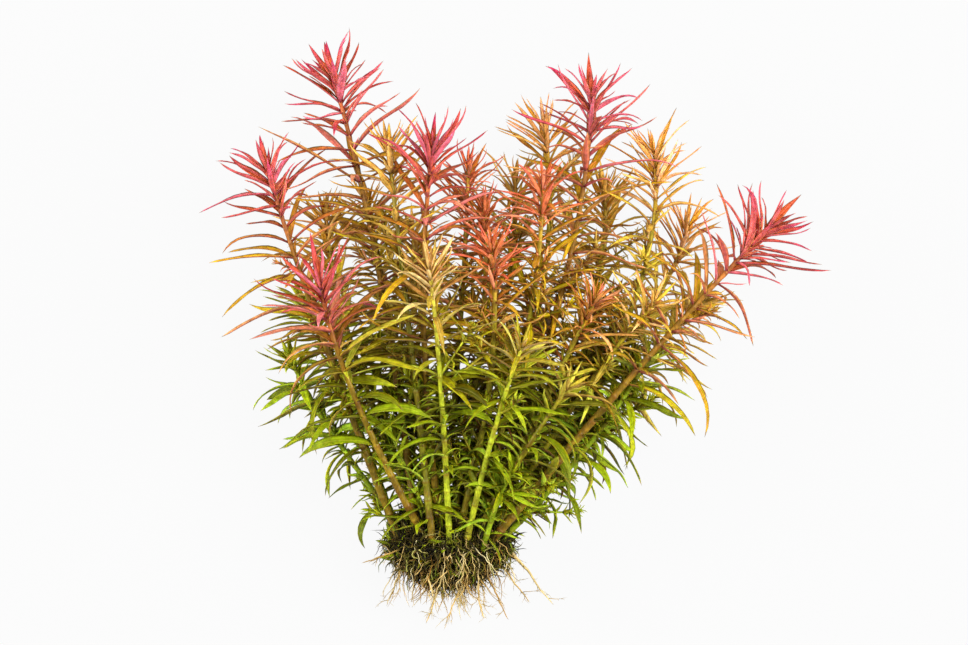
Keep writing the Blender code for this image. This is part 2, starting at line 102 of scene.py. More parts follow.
# %% The shoots
SHOOTS = (
    ("pink", (-53.4, 76.2, 38), (-39.3, 15.2, 33), (4, -2), 2.3, 0.72),
    ("pink", (-72.9, 48.2, 44), (-56.7, -1.4, 38), (4, -3), 2.3, 0.76),
    ("pink", (-56.7, 13.7, 58), (-46.2, -20.9, 48), (5, -2), 2.3, 0.66),
    ("pink", (-23.4, 54.2, 52), (-26.1, 0.0, 43), (5, -1), 2.1, 0.74),
    ("pink", (24.3, 70.7, 34), (14.7, 9.2, 29), (3, 1), 2.2, 0.72),
    ("pink", (77.4, 30.8, 40), (39.0, -10.4, 40), (5, 2), 2.7, 0.72),
    ("coral", (9.3, 45.2, 46), (3.9, -4.4, 37), (4, 1), 2.1, 0.74),
    ("coral", (-6.3, 26.3, 55), (-6.0, -11.9, 44), (5, 0), 2.1, 0.76),
    ("coral", (-12.9, 49.7, 25), (-15.6, -2.9, 23), (3, -1), 2.0, 0.7),
    ("coral", (25.8, 10.1, 45), (12.6, -16.4, 37), (4, 2), 2.1, 0.74),
    ("coral", (-8.1, 37.7, 34), (-9.3, -5.9, 30), (4, 0), 2.0, 0.7),
    ("orange", (43.2, 54.2, 30), (33.3, -1.4, 24), (2, 2), 2.2, 0.76),
    ("orange", (10.2, 61.7, 24), (7.8, 3.2, 21), (3, 0), 2.1, 0.7),
    ("orange", (43.2, 8.3, 44), (22.2, -17.9, 32), (3, 2), 2.1, 0.76),
    ("orange", (17.4, -16.4, 48), (4.8, -35.3, 41), (5, 1), 2.0, 0.76),
    ("orange", (53.7, 31.7, 12), (38.7, 0.0, 10.5), (1, 2), 2.1, 0.7),
    ("straw", (3.3, -4.4, 60), (-5.1, -29.9, 49), (6, 1), 1.9, 0.7),
    ("straw", (-24.3, 18.2, 59), (-21.0, -16.4, 50), (6, 0), 1.9, 0.7),
    ("olive", (-36.9, 54.8, 40), (-30.3, -1.4, 42), (6, -1), 2.2, 0.66),
    ("olive", (-55.8, 34.7, 26), (-47.7, -5.9, 23), (3, -2), 2.1, 0.72),
    ("olive", (-43.5, 39.2, 13), (-35.7, -5.9, 11), (2, -2), 2.1, 0.72),
    ("olive", (-29.7, 29.6, 12), (-25.8, -8.9, 11), (2, -1), 2.1, 0.74),
    ("olive", (1.5, 45.8, 12), (-3.6, -4.4, 10.5), (2, 0), 2.1, 0.72),
    ("olive", (28.5, 42.2, 14), (20.1, -2.9, 11), (2, 1), 2.1, 0.74),
    ("olive", (56.7, 9.2, 22), (33.6, -19.4, 19), (2, 3), 2.2, 0.76),
    ("green", (-66.3, -8.9, 30), (-52.8, -32.9, 24), (3, -3), 1.9, 0.93),
    ("green", (41.7, -8.3, 34), (21.6, -36.8, 30), (4, 3), 1.9, 0.93),
    ("green", (-63.3, 9.2, 13), (-49.8, -20.9, 12), (2, -3), 1.9, 0.8),
    ("green", (0.6, -42.5, 45), (-3.6, -50.2, 39.5), (6, 2), 1.7, 0.8),
    ("green", (26.0, -7.0, 12), (11.0, -31.0, 11), (1, 1), 1.9, 0.78),
)
print("shoots:", len(SHOOTS))

# %% [markdown]
# A stem is a smooth curve from the root ball through its middle to its tip. A piece that grows
# along a curve needs to know, at any distance, where it is and which way is sideways. The frame
# here is carried up the curve with the least turn, so nothing twists by accident.

# %% The line that a stem follows
def slot_point(slot):
    """Foot of a stem: a place in the rows of slots, sunk into the leafy end of the ball."""
    row, column = slot
    x = BALL_CENTRE.x + SLOT_WIDTH * (column + 0.5 * (row % 2))
    z = FIRST_SLOT_Z + SLOT_HEIGHT * row
    across = abs((x - BALL_CENTRE.x) / BALL_RADII.x) ** BALL_SQUARENESS
    deep = abs((z - BALL_CENTRE.z) / BALL_RADII.z) ** BALL_SQUARENESS
    left = max(0.0, 1 - across - deep) ** (1 / BALL_SQUARENESS)
    return Vector((x, BALL_CENTRE.y + BALL_RADII.y * left - SOCKET_DEPTH, z))


class Axis:
    """The curved centre line of one shoot, with a frame that follows it without twisting."""

    def __init__(self, tone, foot, middle, tip, width, leafy):
        self.tone, self.width, self.leafy = tone, width, leafy
        control = 2 * middle - (foot + tip) / 2
        self.points = []
        for i in range(AXIS_SAMPLES + 1):
            t = i / AXIS_SAMPLES
            self.points.append((1 - t) ** 2 * foot + 2 * t * (1 - t) * control + t * t * tip)
        self.reach = [0.0]
        for before, after in zip(self.points, self.points[1:]):
            self.reach.append(self.reach[-1] + (after - before).length)
        self.length = self.reach[-1]
        side = Vector((1, 0, 0))
        self.sides = []
        for i in range(AXIS_SAMPLES + 1):
            heading = self.heading(i)
            side = (side - heading * side.dot(heading)).normalized()
            self.sides.append(side.copy())

    def heading(self, i):
        before = self.points[max(i - 1, 0)]
        after = self.points[min(i + 1, AXIS_SAMPLES)]
        return (after - before).normalized()

    def frame(self, distance, turn):
        """Axes at a distance from the foot: x to the side, y across, z up the stem."""
        distance = min(max(distance, 0.0), self.length)
        i = 0
        while i < AXIS_SAMPLES - 1 and self.reach[i + 1] < distance:
            i += 1
        part = (distance - self.reach[i]) / (self.reach[i + 1] - self.reach[i])
        place = self.points[i].lerp(self.points[i + 1], part)
        heading = self.heading(i).lerp(self.heading(i + 1), part).normalized()
        side = self.sides[i].lerp(self.sides[i + 1], part)
        side = (side - heading * side.dot(heading)).normalized()
        axes = Matrix((side, heading.cross(side), heading)).transposed().to_4x4()
        return Matrix.Translation(place) @ axes @ Matrix.Rotation(turn, 4, "Z")

    def width_at(self, distance):
        """Width of the stem: full over its lower part, then thinner up to the bud."""
        part = (distance / self.length - FULL_WIDTH_SHARE) / (1 - FULL_WIDTH_SHARE)
        thin = min(1.0, max(0.0, part)) ** THINNING_POWER
        return self.width + (BUD_WIDTH - self.width) * thin


def shoot_axis(row):
    tone, tip, middle, slot, width, leafy = row
    return Axis(tone, slot_point(slot), Vector(middle), Vector(tip), width, leafy)


axes = [shoot_axis(row) for row in SHOOTS]
stem_lengths = [round(axis.length) for axis in axes]
print("stems from", min(stem_lengths), "to", max(stem_lengths), "mm")

# %% [markdown]
# Leaves sit in whorls of four, close together at the growing tip and an internode apart lower
# down. Young leaves are short and upright, and old ones lean out and curl. One seed for each
# whorl gives every leaf its own small differences, and the same ones each time.

# %% Growth rules
WHORL_SEEDS = 1000
# Angles in degrees, then shares of the length and of the curl.
WHORL_TURN = 45.0
LEAF_TURN = 90.0
TURN_SPREAD = 9.0
LIFT_SPREAD = 8.0
ROLL_SPREAD = 28.0
SIZE_SHARES = (0.85, 1.12)
CURL_SPREAD = (0.5, 1.5)


def blend(value, stops):
    """Straight-line reading of a value between (place, reading) stops."""
    for (a, at_a), (b, at_b) in zip(stops, stops[1:]):
        if value <= b:
            return at_a + (at_b - at_a) * max(0.0, value - a) / (b - a)
    return stops[-1][1]


def whorl_distances(axis):
    """Distances of the whorls below the growing tip."""
    distances = []
    below_tip = FIRST_GAP * FIRST_WHORL
    gap = FIRST_GAP
    while below_tip < axis.length * axis.leafy:
        distances.append(below_tip)
        below_tip += gap
        gap = min(INTERNODE, gap + GAP_GROWTH)
    return distances


def whorl_turn(whorl):
    """Each whorl is turned an eighth from the one above it."""
    return math.radians(WHORL_TURN * (whorl % 2))


def leaf_settings(shoot_number, whorl, below_tip, above_foot):
    """Length, turn, lift, curl and roll of each leaf of a whorl."""
    rng = random.Random(WHORL_SEEDS * shoot_number + whorl)
    length = LEAF_LENGTH * blend(below_tip, YOUNG_LENGTHS) * blend(above_foot, OLD_LENGTHS)
    lift = blend(below_tip, LIFTS)
    curl = blend(below_tip, CURLS)
    leaves = []
    for k in range(LEAVES_PER_WHORL):
        turn = math.radians(LEAF_TURN * k + rng.uniform(-TURN_SPREAD, TURN_SPREAD))
        size = length * rng.uniform(*SIZE_SHARES)
        raised = math.radians(lift + rng.uniform(-LIFT_SPREAD, LIFT_SPREAD))
        curled = math.radians(curl * rng.uniform(*CURL_SPREAD))
        roll = math.radians(rng.uniform(-ROLL_SPREAD, ROLL_SPREAD))
        leaves.append((size, whorl_turn(whorl) + turn, raised, curled, roll))
    return leaves


print("whorls:", sum(len(whorl_distances(axis)) for axis in axes))

# %% [markdown]
# Leaves, stems and roots are all skins stretched over rings of points, so one helper builds them
# all. It also keeps a few numbers at each point, such as how far along its leaf the point is.
# The materials read these numbers as attributes, which is how a leaf can have a dark foot and a
# pale rib with no picture painted on it.

# %% A helper that stretches skins over rings
VALUES = ("along", "across", "under", "age", "low", "tint")
LOWEST = 0.05
THREAD_LOWEST = 0.4


class Growth:
    """Collects closed skins in millimetres and turns them into one object in metres."""

    def __init__(self):
        self.points = []
        self.faces = []
        self.slots = []
        self.values = {name: [] for name in VALUES}

    def add_point(self, point, values):
        """Adds a point, kept just above the surface that the bunch lies on."""
        self.points.append((point.x * MM, point.y * MM, max(point.z, LOWEST) * MM))
        for name in VALUES:
            self.values[name].append(values.get(name, 0.0))
        return len(self.points) - 1

    def add_face(self, corners, slot):
        self.faces.append(corners)
        self.slots.append(slot)

    def add_skin(self, rings, tip, slot=0):
        """A closed skin over rings of (point, values), from a flat foot to a pointed tip."""
        rows = [[self.add_point(point, values) for point, values in ring] for ring in rings]
        count = len(rows[0])
        for low, high in zip(rows, rows[1:]):
            for k in range(count):
                j = (k + 1) % count
                self.add_face((low[k], low[j], high[j], high[k]), slot)
        end = self.add_point(*tip)
        for k in range(count):
            self.add_face((rows[-1][k], rows[-1][(k + 1) % count], end), slot)
        self.add_face(tuple(reversed(rows[0])), slot)

    def make_object(self, name, materials):
        mesh = bpy.data.meshes.new(name)
        mesh.from_pydata(self.points, [], self.faces)
        for key, readings in self.values.items():
            mesh.attributes.new(key, "FLOAT", "POINT").data.foreach_set("value", readings)
        for material in materials:
            mesh.materials.append(material)
        mesh.polygons.foreach_set("material_index", self.slots)
        mesh.shade_smooth()
        obj = bpy.data.objects.new(name, mesh)
        bpy.context.scene.collection.objects.link(obj)
        return obj


print("numbers kept at each point:", ", ".join(VALUES))

# %% [markdown]
# A leaf is narrow at the stem, widest at two fifths of its length, and long-pointed. It is folded
# into a shallow V along its rib, a little wavy at its edges, and it curls away from the stem. A
# flat card would catch the light all at once, so each ring has eight points round the fold: two
# edges, and three points on each side, with the upper and lower side a hair apart. A short leaf
# is a millimetre wide, so four of these points are enough for it.

# %% One leaf
LEAF_STEPS = 10
SHORT_LEAF = 11.0
SHORT_LEAF_STEPS = 6
BLADE_WIDTH = 2.6
YOUNG_WIDTH = 0.16
LOW_WIDTH = 0.42
WIDEST = 0.4
FOOT_SHARE = 0.38
TIP_POWER = 1.6
RIB_THICKNESS = 0.34
BLADE_THICKNESS = 0.14
FOLD_AT_FOOT = 0.6
FOLD_AT_TIP = 0.12
WAVE_HEIGHT = 0.16
WAVES_ALONG = 11.0
WAVES_ACROSS = 2.0
HOOKS = (-40.0, 35.0)
HOOK_FROM = 0.6
WIDTH_SHARES = (0.8, 1.15)
SWAY = 0.07
THINNEST = 0.25
FLOOR_CLEARANCE = 0.6
FLOOR_TURN = 0.3
SUNK_FOOT = 0.35
# Round the fold of a leaf: place across it, height in half thicknesses, and 1 on the underside.
FOLD_POINTS = (
    (-1.0, 0.0, 0.5),
    (-0.5, 0.8, 0.0),
    (0.0, 1.0, 0.0),
    (0.5, 0.8, 0.0),
    (1.0, 0.0, 0.5),
    (0.5, -0.8, 1.0),
    (0.0, -1.4, 1.0),
    (-0.5, -0.8, 1.0),
)


def leaf_share(along):
    """Share of a leaf's full width at a place along it."""
    if along < WIDEST:
        return FOOT_SHARE + (1 - FOOT_SHARE) * math.sin(math.pi / 2 * along / WIDEST)
    return 1 - ((along - WIDEST) / (1 - WIDEST)) ** TIP_POWER


def leaf_line(start, along, out, steps, length, lift, curl, hook):
    """Centre line of a leaf: it curls off the stem, may hook at its tip, and lies on the floor."""
    points = [start]
    step = length / steps
    for i in range(steps):
        part = (i + 0.5) / steps
        angle = lift + curl * part + hook * max(0.0, part - HOOK_FROM) / (1 - HOOK_FROM)
        heading = along * math.cos(angle) + out * math.sin(angle)
        point = points[-1] + heading * step
        if point.z < FLOOR_CLEARANCE:
            level = Vector((heading.x + along.x * FLOOR_TURN, heading.y + along.y * FLOOR_TURN, 0))
            point = points[-1] + level.normalized() * step
            point.z = max(FLOOR_CLEARANCE, points[-1].z - step)
        points.append(point)
    return points


def add_leaf(growth, node, width, settings, shade, rng, slot=0, blade=BLADE_WIDTH):
    """Grows one leaf from a node of a stem that is this wide."""
    length, turn, lift, curl, roll = settings
    axes_here = node @ Matrix.Rotation(turn, 4, "Z")
    along, out = axes_here.col[2].to_3d(), axes_here.col[0].to_3d()
    start = axes_here.translation + out * (width / 2 - SUNK_FOOT)
    hook = math.radians(rng.uniform(*HOOKS))
    short = length < SHORT_LEAF
    steps = SHORT_LEAF_STEPS if short else LEAF_STEPS
    fold_points = FOLD_POINTS[::2] if short else FOLD_POINTS
    line = leaf_line(start, along, out, steps, length, lift, curl, hook)
    grown = YOUNG_WIDTH + (1 - YOUNG_WIDTH) * length / LEAF_LENGTH
    broad = min(1.0, grown) * (1 + LOW_WIDTH * shade["low"])
    half_width = blade / 2 * broad * rng.uniform(*WIDTH_SHARES)
    sway = length * rng.uniform(-SWAY, SWAY)
    phase = rng.uniform(0, math.tau)
    thin = min(1.0, length / LEAF_LENGTH + THINNEST)
    flat_side = along.cross(out)
    rings = []
    for i in range(steps):
        part = i / steps
        heading = (line[i + 1] - line[max(i - 1, 0)]).normalized()
        side = Matrix.Rotation(roll * part, 3, heading) @ flat_side
        side = (side - heading * side.dot(heading)).normalized()
        up = heading.cross(side)
        half = half_width * leaf_share(part)
        fold = FOLD_AT_FOOT + (FOLD_AT_TIP - FOLD_AT_FOOT) * part
        centre = line[i] + side * sway * part**2
        ring = []
        for across, height, under in fold_points:
            thickness = (RIB_THICKNESS if across == 0 else BLADE_THICKNESS) / 2 * thin
            ripple = math.sin(phase + WAVES_ALONG * part + WAVES_ACROSS * across)
            wave = WAVE_HEIGHT * ripple * abs(across) * thin
            rise = abs(across) * half * fold + height * thickness + wave
            values = {"along": part, "across": across, "under": under, **shade}
            ring.append((centre + side * across * half + up * rise, values))
        rings.append(ring)
    end = line[-1] + side * sway
    growth.add_skin(rings, (end, {"along": 1.0, "under": 0.5, **shade}), slot)


print("points round a leaf:", len(FOLD_POINTS), "rings:", LEAF_STEPS)

# %% [markdown]
# A stem is a tube with a thickened joint at each whorl, where a thin dark ring shows. The rings
# of the tube are therefore not evenly spaced: they crowd at the joints, where the shape changes,
# and are far apart between them, where it doesn't. The number that tells a leaf's edge from its
# rib marks the dark rings of a stem.

# %% One stem
STEM_SIDES = 10
STEM_UNEVENNESS = (0.97, 1.03)
BARE_GAP = 5.6
# Rings at a joint: place along the stem, swelling, and 1 where the skin is dark.
JOINT_RINGS = (
    (-1.1, 1.0, 0.0),
    (-0.45, 1.08, 1.0),
    (0.0, 1.15, 1.0),
    (0.3, 1.05, 0.0),
    (1.0, 1.0, 0.0),
)
JOINT_ROOM = 0.9
YOUNG_JOINTS = 10.0
YOUNG_JOINT_ROOM = 0.25
CLOSEST_RINGS = 0.05
TIP_ROOM = 0.1


def joint_distances(axis):
    """Places of the joints of a stem: at its whorls, and on down its bare foot."""
    joints = [axis.length - below for below in reversed(whorl_distances(axis))]
    while joints[0] > BARE_GAP:
        joints.insert(0, joints[0] - BARE_GAP)
    return joints


def add_stem(growth, axis, shade_at, rng):
    """Grows the tube of a stem, with a thickened joint at each of its whorls."""
    stations = [(0.0, 1.0, 0.0)]
    for joint in joint_distances(axis):
        room = JOINT_ROOM if axis.length - joint > YOUNG_JOINTS else YOUNG_JOINT_ROOM
        for offset, swell, dark in JOINT_RINGS:
            distance = joint + offset * room
            if stations[-1][0] + CLOSEST_RINGS < distance < axis.length - TIP_ROOM:
                stations.append((distance, swell, dark))
    rings = []
    for distance, swell, dark in stations:
        node = axis.frame(distance, 0)
        shade = {"across": dark, "along": distance / axis.length, **shade_at(distance)}
        ring = []
        for k in range(STEM_SIDES):
            angle = math.tau * k / STEM_SIDES
            radius = axis.width_at(distance) / 2 * swell * rng.uniform(*STEM_UNEVENNESS)
            point = node @ Vector((radius * math.cos(angle), radius * math.sin(angle), 0))
            ring.append((point, shade))
        rings.append(ring)
    tip = (axis.points[-1], {"along": 1.0, **shade_at(axis.length)})
    growth.add_skin(rings, tip, slot=1)


print("joints:", sum(len(joint_distances(axis)) for axis in axes))

# %% [markdown]
# The look of the plant is mostly colour, and the colour follows growth: crowns are red, the
# middle is orange to olive, and everything near the roots is green. So each leaf carries its age,
# which is how far below the tip it grew, and how low it is in the bunch. A material is built from
# nodes, and these helpers keep that short. The first one places a node and sets or links its
# inputs, and the others use it for what comes up again and again.

# %% Helpers for shader nodes
def place(tree, kind, inputs=None, **settings):
    """Places a node, sets its properties, and sets or links its inputs."""
    node = tree.nodes.new(kind)
    for key, value in settings.items():
        setattr(node, key, value)
    for key, value in (inputs or {}).items():
        if isinstance(value, bpy.types.NodeSocket):
            tree.links.new(value, node.inputs[key])
        else:
            node.inputs[key].default_value = value
    return node


def attribute(tree, name):
    return place(tree, "ShaderNodeAttribute", attribute_name=name).outputs["Fac"]


def between(tree, value, low, high, at_low=0.0, at_high=1.0):
    """Smooth step of a value from at_low to at_high."""
    inputs = {
        "Value": value,
        "From Min": low,
        "From Max": high,
        "To Min": at_low,
        "To Max": at_high,
    }
    node = place(tree, "ShaderNodeMapRange", inputs, interpolation_type="SMOOTHSTEP")
    return node.outputs["Result"]


def maths(tree, operation, first, second=0.0):
    return place(tree, "ShaderNodeMath", {0: first, 1: second}, operation=operation).outputs[0]


def product(tree, *factors):
    """The product of two or more values."""
    result = factors[0]
    for factor in factors[1:]:
        result = maths(tree, "MULTIPLY", result, factor)
    return result


def mix(tree, share, first, second):
    """Mixes two colours, which are inputs 6 and 7 of a Mix node that is set to colours."""
    inputs = {0: share, 6: first, 7: second}
    return place(tree, "ShaderNodeMix", inputs, data_type="RGBA").outputs[2]


def brightened(tree, shade, value):
    """A colour made lighter or darker by a value around 1."""
    inputs = {"Color": shade, "Value": value}
    return place(tree, "ShaderNodeHueSaturation", inputs).outputs["Color"]


def noise_at(tree, where, scale, detail):
    inputs = {"Vector": where, "Scale": scale, "Detail": detail}
    return place(tree, "ShaderNodeTexNoise", inputs).outputs["Fac"]


def colour(red, green, blue):
    """A colour on a screen, from 0 to 255, as the linear colour that nodes use."""
    linear = []
    for part in (red / 255, green / 255, blue / 255):
        linear.append(part / 12.92 if part <= 0.04045 else ((part + 0.055) / 1.055) ** 2.4)
    return (*linear, 1.0)


def group_tree(name, inputs, outputs):
    """An empty node group with named sockets, and its input and output nodes."""
    tree = bpy.data.node_groups.new(name, "ShaderNodeTree")
    for socket, kind in inputs.items():
        tree.interface.new_socket(socket, in_out="INPUT", socket_type="NodeSocket" + kind)
    for socket, kind in outputs.items():
        tree.interface.new_socket(socket, in_out="OUTPUT", socket_type="NodeSocket" + kind)
    return tree, tree.nodes.new("NodeGroupInput").outputs, tree.nodes.new("NodeGroupOutput").inputs


print("half grey on a screen is", round(colour(128, 128, 128)[0], 2), "to a node")

# %% [markdown]
# Nothing that grew is one flat colour. This group breaks up any colour with soft blotches and
# fine grain, and gives out a height for a bump as well. It is used by the leaves, the stems, the
# moss and the roots, each with its own scale and strength, so it is made once.

# %% Group: mottling
BLOTCH_DETAIL = 3.0
BLOTCH_VALUES = (0.35, 0.65, 0.5, 1.35)
GRAIN_FINENESS = 5.0
GRAIN_DETAIL = 2.0
GRAIN_VALUES = (0.3, 0.7, 0.85, 1.15)


def make_mottling():
    inputs = {"Color": "Color", "Scale": "Float", "Strength": "Float"}
    outputs = {"Color": "Color", "Height": "Float"}
    tree, given, result = group_tree("mottling", inputs, outputs)
    where = place(tree, "ShaderNodeTexCoord").outputs["Object"]
    blotches = noise_at(tree, where, given["Scale"], BLOTCH_DETAIL)
    grain = noise_at(tree, where, product(tree, given["Scale"], GRAIN_FINENESS), GRAIN_DETAIL)
    patch = between(tree, blotches, *BLOTCH_VALUES)
    speck = between(tree, grain, *GRAIN_VALUES)
    broken = brightened(tree, given["Color"], product(tree, patch, speck))
    tree.links.new(mix(tree, given["Strength"], given["Color"], broken), result["Color"])
    tree.links.new(grain, result["Height"])
    return tree


mottling = make_mottling()
print("group:", mottling.name)

# %% [markdown]
# The leaf pigment group turns a leaf's numbers into its colour. In a crown the foot half of a leaf
# is orange and its tip half is pink. With age it turns to a middle colour and an old one, some
# leaves sooner than others, and low in the bunch to green, on some leaves a deep green that is
# partly painted shade. Some leaves are pale on both sides.
# Each of these steps is one function that places a few nodes and hands its colour on.

# %% Group: leaf pigment, its colours by age and height
LOW_GREEN = colour(103, 118, 8)
# A deep green: partly the darker green of some low leaves, partly painted shade in the heart of the
# bunch.
SHADED_DEEP_GREEN = colour(31, 41, 0)
FRESH_GREEN = colour(116, 142, 34)
# How far apart the ages of equal leaves can be, and how often the tints run through that spread.
AGE_SPREAD = 0.26
TINT_TURNS = 7.0
# Where each change begins and ends, as shares of a leaf's length or of its age, lowness or tint.
RED_ALONG = (0.25, 0.9)
RED_TINTS = (0.0, 0.6, 0.15, 1.0)
MIDDLE_AGES = (0.1, 0.36)
OLD_AGES = (0.28, 0.68)
PALE_TINTS = (0.7, 0.95)
PALE_BY_AGE = (0.2, 0.9, 1.0, 0.4)
PALE_BY_LOWNESS = (0.15, 0.7, 1.0, 0.1)
SHADED_DEEP_TINTS = (0.1, 0.6, 1.0, 0.0)
FRESH_TINTS = (0.78, 0.9, 0.0, 0.7)


def varied_age(tree, leaf):
    """The age shifted a little from leaf to leaf, by a number drawn from the leaf's tint."""
    drawn = maths(tree, "FRACT", product(tree, leaf["tint"], TINT_TURNS))
    shift = product(tree, maths(tree, "SUBTRACT", drawn, 0.5), AGE_SPREAD)
    return maths(tree, "ADD", leaf["age"], shift)


def aged_colour(tree, leaf, given):
    """Orange to pink in a crown, then the middle and the old colour, and pale on some leaves."""
    age = varied_age(tree, leaf)
    red_end = between(tree, leaf["along"], *RED_ALONG)
    red = product(tree, red_end, between(tree, leaf["tint"], *RED_TINTS))
    shade = mix(tree, red, given["Heart"], given["Crown"])
    shade = mix(tree, between(tree, age, *MIDDLE_AGES), shade, given["Middle"])
    shade = mix(tree, between(tree, age, *OLD_AGES), shade, given["Old"])
    pale = product(
        tree,
        given["Pale share"],
        between(tree, leaf["tint"], *PALE_TINTS),
        between(tree, leaf["age"], *PALE_BY_AGE),
        between(tree, leaf["low"], *PALE_BY_LOWNESS),
    )
    return mix(tree, pale, shade, given["Under"])


def greened(tree, leaf, given, shade):
    """The same colour turned green low in the bunch: fresh green on some leaves, and on others a
    deep green that is partly painted shade.
    """
    # Share of the deep green by tint and tone; this share is partly painted shade.
    deep = product(tree, between(tree, leaf["tint"], *SHADED_DEEP_TINTS), given["Shaded deep share"])
    green = mix(tree, deep, LOW_GREEN, SHADED_DEEP_GREEN)
    green = mix(tree, between(tree, leaf["tint"], *FRESH_TINTS), green, FRESH_GREEN)
    return mix(tree, leaf["low"], shade, green)


print("a low leaf's green, as nodes see it:", [round(part, 3) for part in LOW_GREEN])

# %% [markdown]
# The same group draws the leaf's own markings over that colour. The rib is paler, the foot and the
# edges are darker, the very tip is dry, and the underside is pale. These are weaker on the green
# leaves low in the bunch. Fine lines run along the blade, drawn by noise that is stretched
# lengthwise, and the rib and the lines also give a height for a bump.

# %% Group: leaf pigment, its markings
DRY_TIP = colour(98, 70, 56)
# Stretch of the noise along, across and by tint, then its scale and detail.
STREAKS = (2.5, 5.0, 40.0)
STREAK_NOISE = (1.6, 4.0)
# Smooth steps: where each mark begins and ends, and its strength at both.
STREAK_VALUES = (0.3, 0.7, 0.66, 1.32)
TINT_VALUES = (0.0, 0.9, 0.62, 1.22)
MARKED = (0.3, 0.9, 1.0, 0.2)
FOOT_ALONG = (0.0, 0.25, 0.85, 0.0)
RIB_ACROSS = (0.0, 0.14, 0.5, 0.0)
RIDGE_ACROSS = (0.0, 0.12, 1.0, 0.0)
EDGE_ACROSS = (0.6, 1.0, 0.0, 0.75)
EDGE_ALONG = (0.0, 0.2)
UNDERSIDE = (0.5, 1.0, 0.0, 0.4)
DRY_ALONG = (0.92, 1.0, 0.0, 0.85)


def blade_streaks(tree, leaf):
    """Lines along the blade: noise stretched lengthwise, read at another place for each tint."""
    numbers = (leaf["along"], leaf["across"], leaf["tint"])
    spread = [product(tree, number, by) for number, by in zip(numbers, STREAKS)]
    on_leaf = place(tree, "ShaderNodeCombineXYZ", dict(zip("XYZ", spread))).outputs[0]
    return noise_at(tree, on_leaf, *STREAK_NOISE)


def make_leaf_pigment():
    inputs = dict.fromkeys(("Heart", "Crown", "Middle", "Old", "Foot", "Rib", "Under"), "Color")
    inputs.update({"Pale share": "Float", "Shaded deep share": "Float"})
    tree, given, result = group_tree("leaf pigment", inputs, {"Color": "Color", "Height": "Float"})
    leaf = {name: attribute(tree, name) for name in VALUES}
    aside = maths(tree, "ABSOLUTE", leaf["across"])
    marked = between(tree, leaf["low"], *MARKED)
    shade = greened(tree, leaf, given, aged_colour(tree, leaf, given))
    foot = product(tree, between(tree, leaf["along"], *FOOT_ALONG), marked)
    shade = mix(tree, foot, shade, given["Foot"])

    streaks = blade_streaks(tree, leaf)
    lighter = between(tree, streaks, *STREAK_VALUES)
    value = product(tree, lighter, between(tree, leaf["tint"], *TINT_VALUES))
    shade = brightened(tree, shade, value)

    rib = product(tree, between(tree, aside, *RIB_ACROSS), marked)
    shade = mix(tree, rib, shade, given["Rib"])
    off_foot = between(tree, leaf["along"], *EDGE_ALONG)
    edge = product(tree, between(tree, aside, *EDGE_ACROSS), off_foot, marked)
    shade = mix(tree, edge, shade, given["Foot"])
    paler = product(tree, between(tree, leaf["under"], *UNDERSIDE), marked)
    shade = mix(tree, paler, shade, given["Under"])
    shade = mix(tree, between(tree, leaf["along"], *DRY_ALONG), shade, DRY_TIP)

    height = maths(tree, "ADD", between(tree, aside, *RIDGE_ACROSS), streaks)
    tree.links.new(shade, result["Color"])
    tree.links.new(height, result["Height"])
    return tree


leaf_pigment = make_leaf_pigment()
print("group:", leaf_pigment.name, "with", len(leaf_pigment.nodes), "nodes")

# %% [markdown]
# A leaf is satin, not glossy: it scatters light inside its thin blade, so a little subsurface
# and a broad highlight suit it. The shader itself stays in the material, and only colours and
# heights come from the groups. Each tone gets one material, made by one function.

# %% Leaf materials
# In each tone the deep share sets how much of the deep green, which is partly painted shade, its
# low leaves take; less on the outer green and the pink shoots.
TONES = {
    "pink": {
        "Heart": colour(178, 74, 34),
        "Crown": colour(138, 15, 58),
        "Middle": colour(168, 86, 38),
        "Old": colour(170, 132, 16),
        "Foot": colour(92, 8, 14),
        "Rib": colour(206, 108, 84),
        "Under": colour(178, 84, 104),
        "Pale share": 0.75,
        "Shaded deep share": 0.5,
    },
    "coral": {
        "Heart": colour(190, 86, 36),
        "Crown": colour(172, 52, 54),
        "Middle": colour(174, 122, 22),
        "Old": colour(156, 136, 6),
        "Foot": colour(110, 22, 10),
        "Rib": colour(222, 162, 84),
        "Under": colour(202, 118, 92),
        "Pale share": 0.8,
        "Shaded deep share": 1.0,
    },
    "orange": {
        "Heart": colour(200, 132, 22),
        "Crown": colour(200, 116, 54),
        "Middle": colour(194, 160, 50),
        "Old": colour(188, 166, 46),
        "Foot": colour(120, 40, 4),
        "Rib": colour(228, 190, 92),
        "Under": colour(218, 158, 116),
        "Pale share": 0.75,
        "Shaded deep share": 1.0,
    },
    "straw": {
        "Heart": colour(178, 112, 58),
        "Crown": colour(168, 130, 74),
        "Middle": colour(150, 130, 32),
        "Old": colour(144, 134, 8),
        "Foot": colour(116, 66, 8),
        "Rib": colour(198, 178, 98),
        "Under": colour(190, 162, 112),
        "Pale share": 0.6,
        "Shaded deep share": 1.0,
    },
    "olive": {
        "Heart": colour(182, 118, 20),
        "Crown": colour(182, 130, 36),
        "Middle": colour(168, 138, 26),
        "Old": colour(146, 131, 12),
        "Foot": colour(100, 42, 2),
        "Rib": colour(206, 182, 72),
        "Under": colour(200, 158, 92),
        "Pale share": 0.65,
        "Shaded deep share": 1.0,
    },
    "green": {
        "Heart": colour(184, 144, 20),
        "Crown": colour(172, 162, 24),
        "Middle": colour(142, 150, 8),
        "Old": colour(130, 136, 2),
        "Foot": colour(84, 84, 0),
        "Rib": colour(180, 190, 68),
        "Under": colour(166, 172, 80),
        "Pale share": 0.5,
        "Shaded deep share": 0.4,
    },
}
LEAF_MOTTLE = {"Scale": 520.0, "Strength": 0.55}
LEAF_BUMP = 0.00012
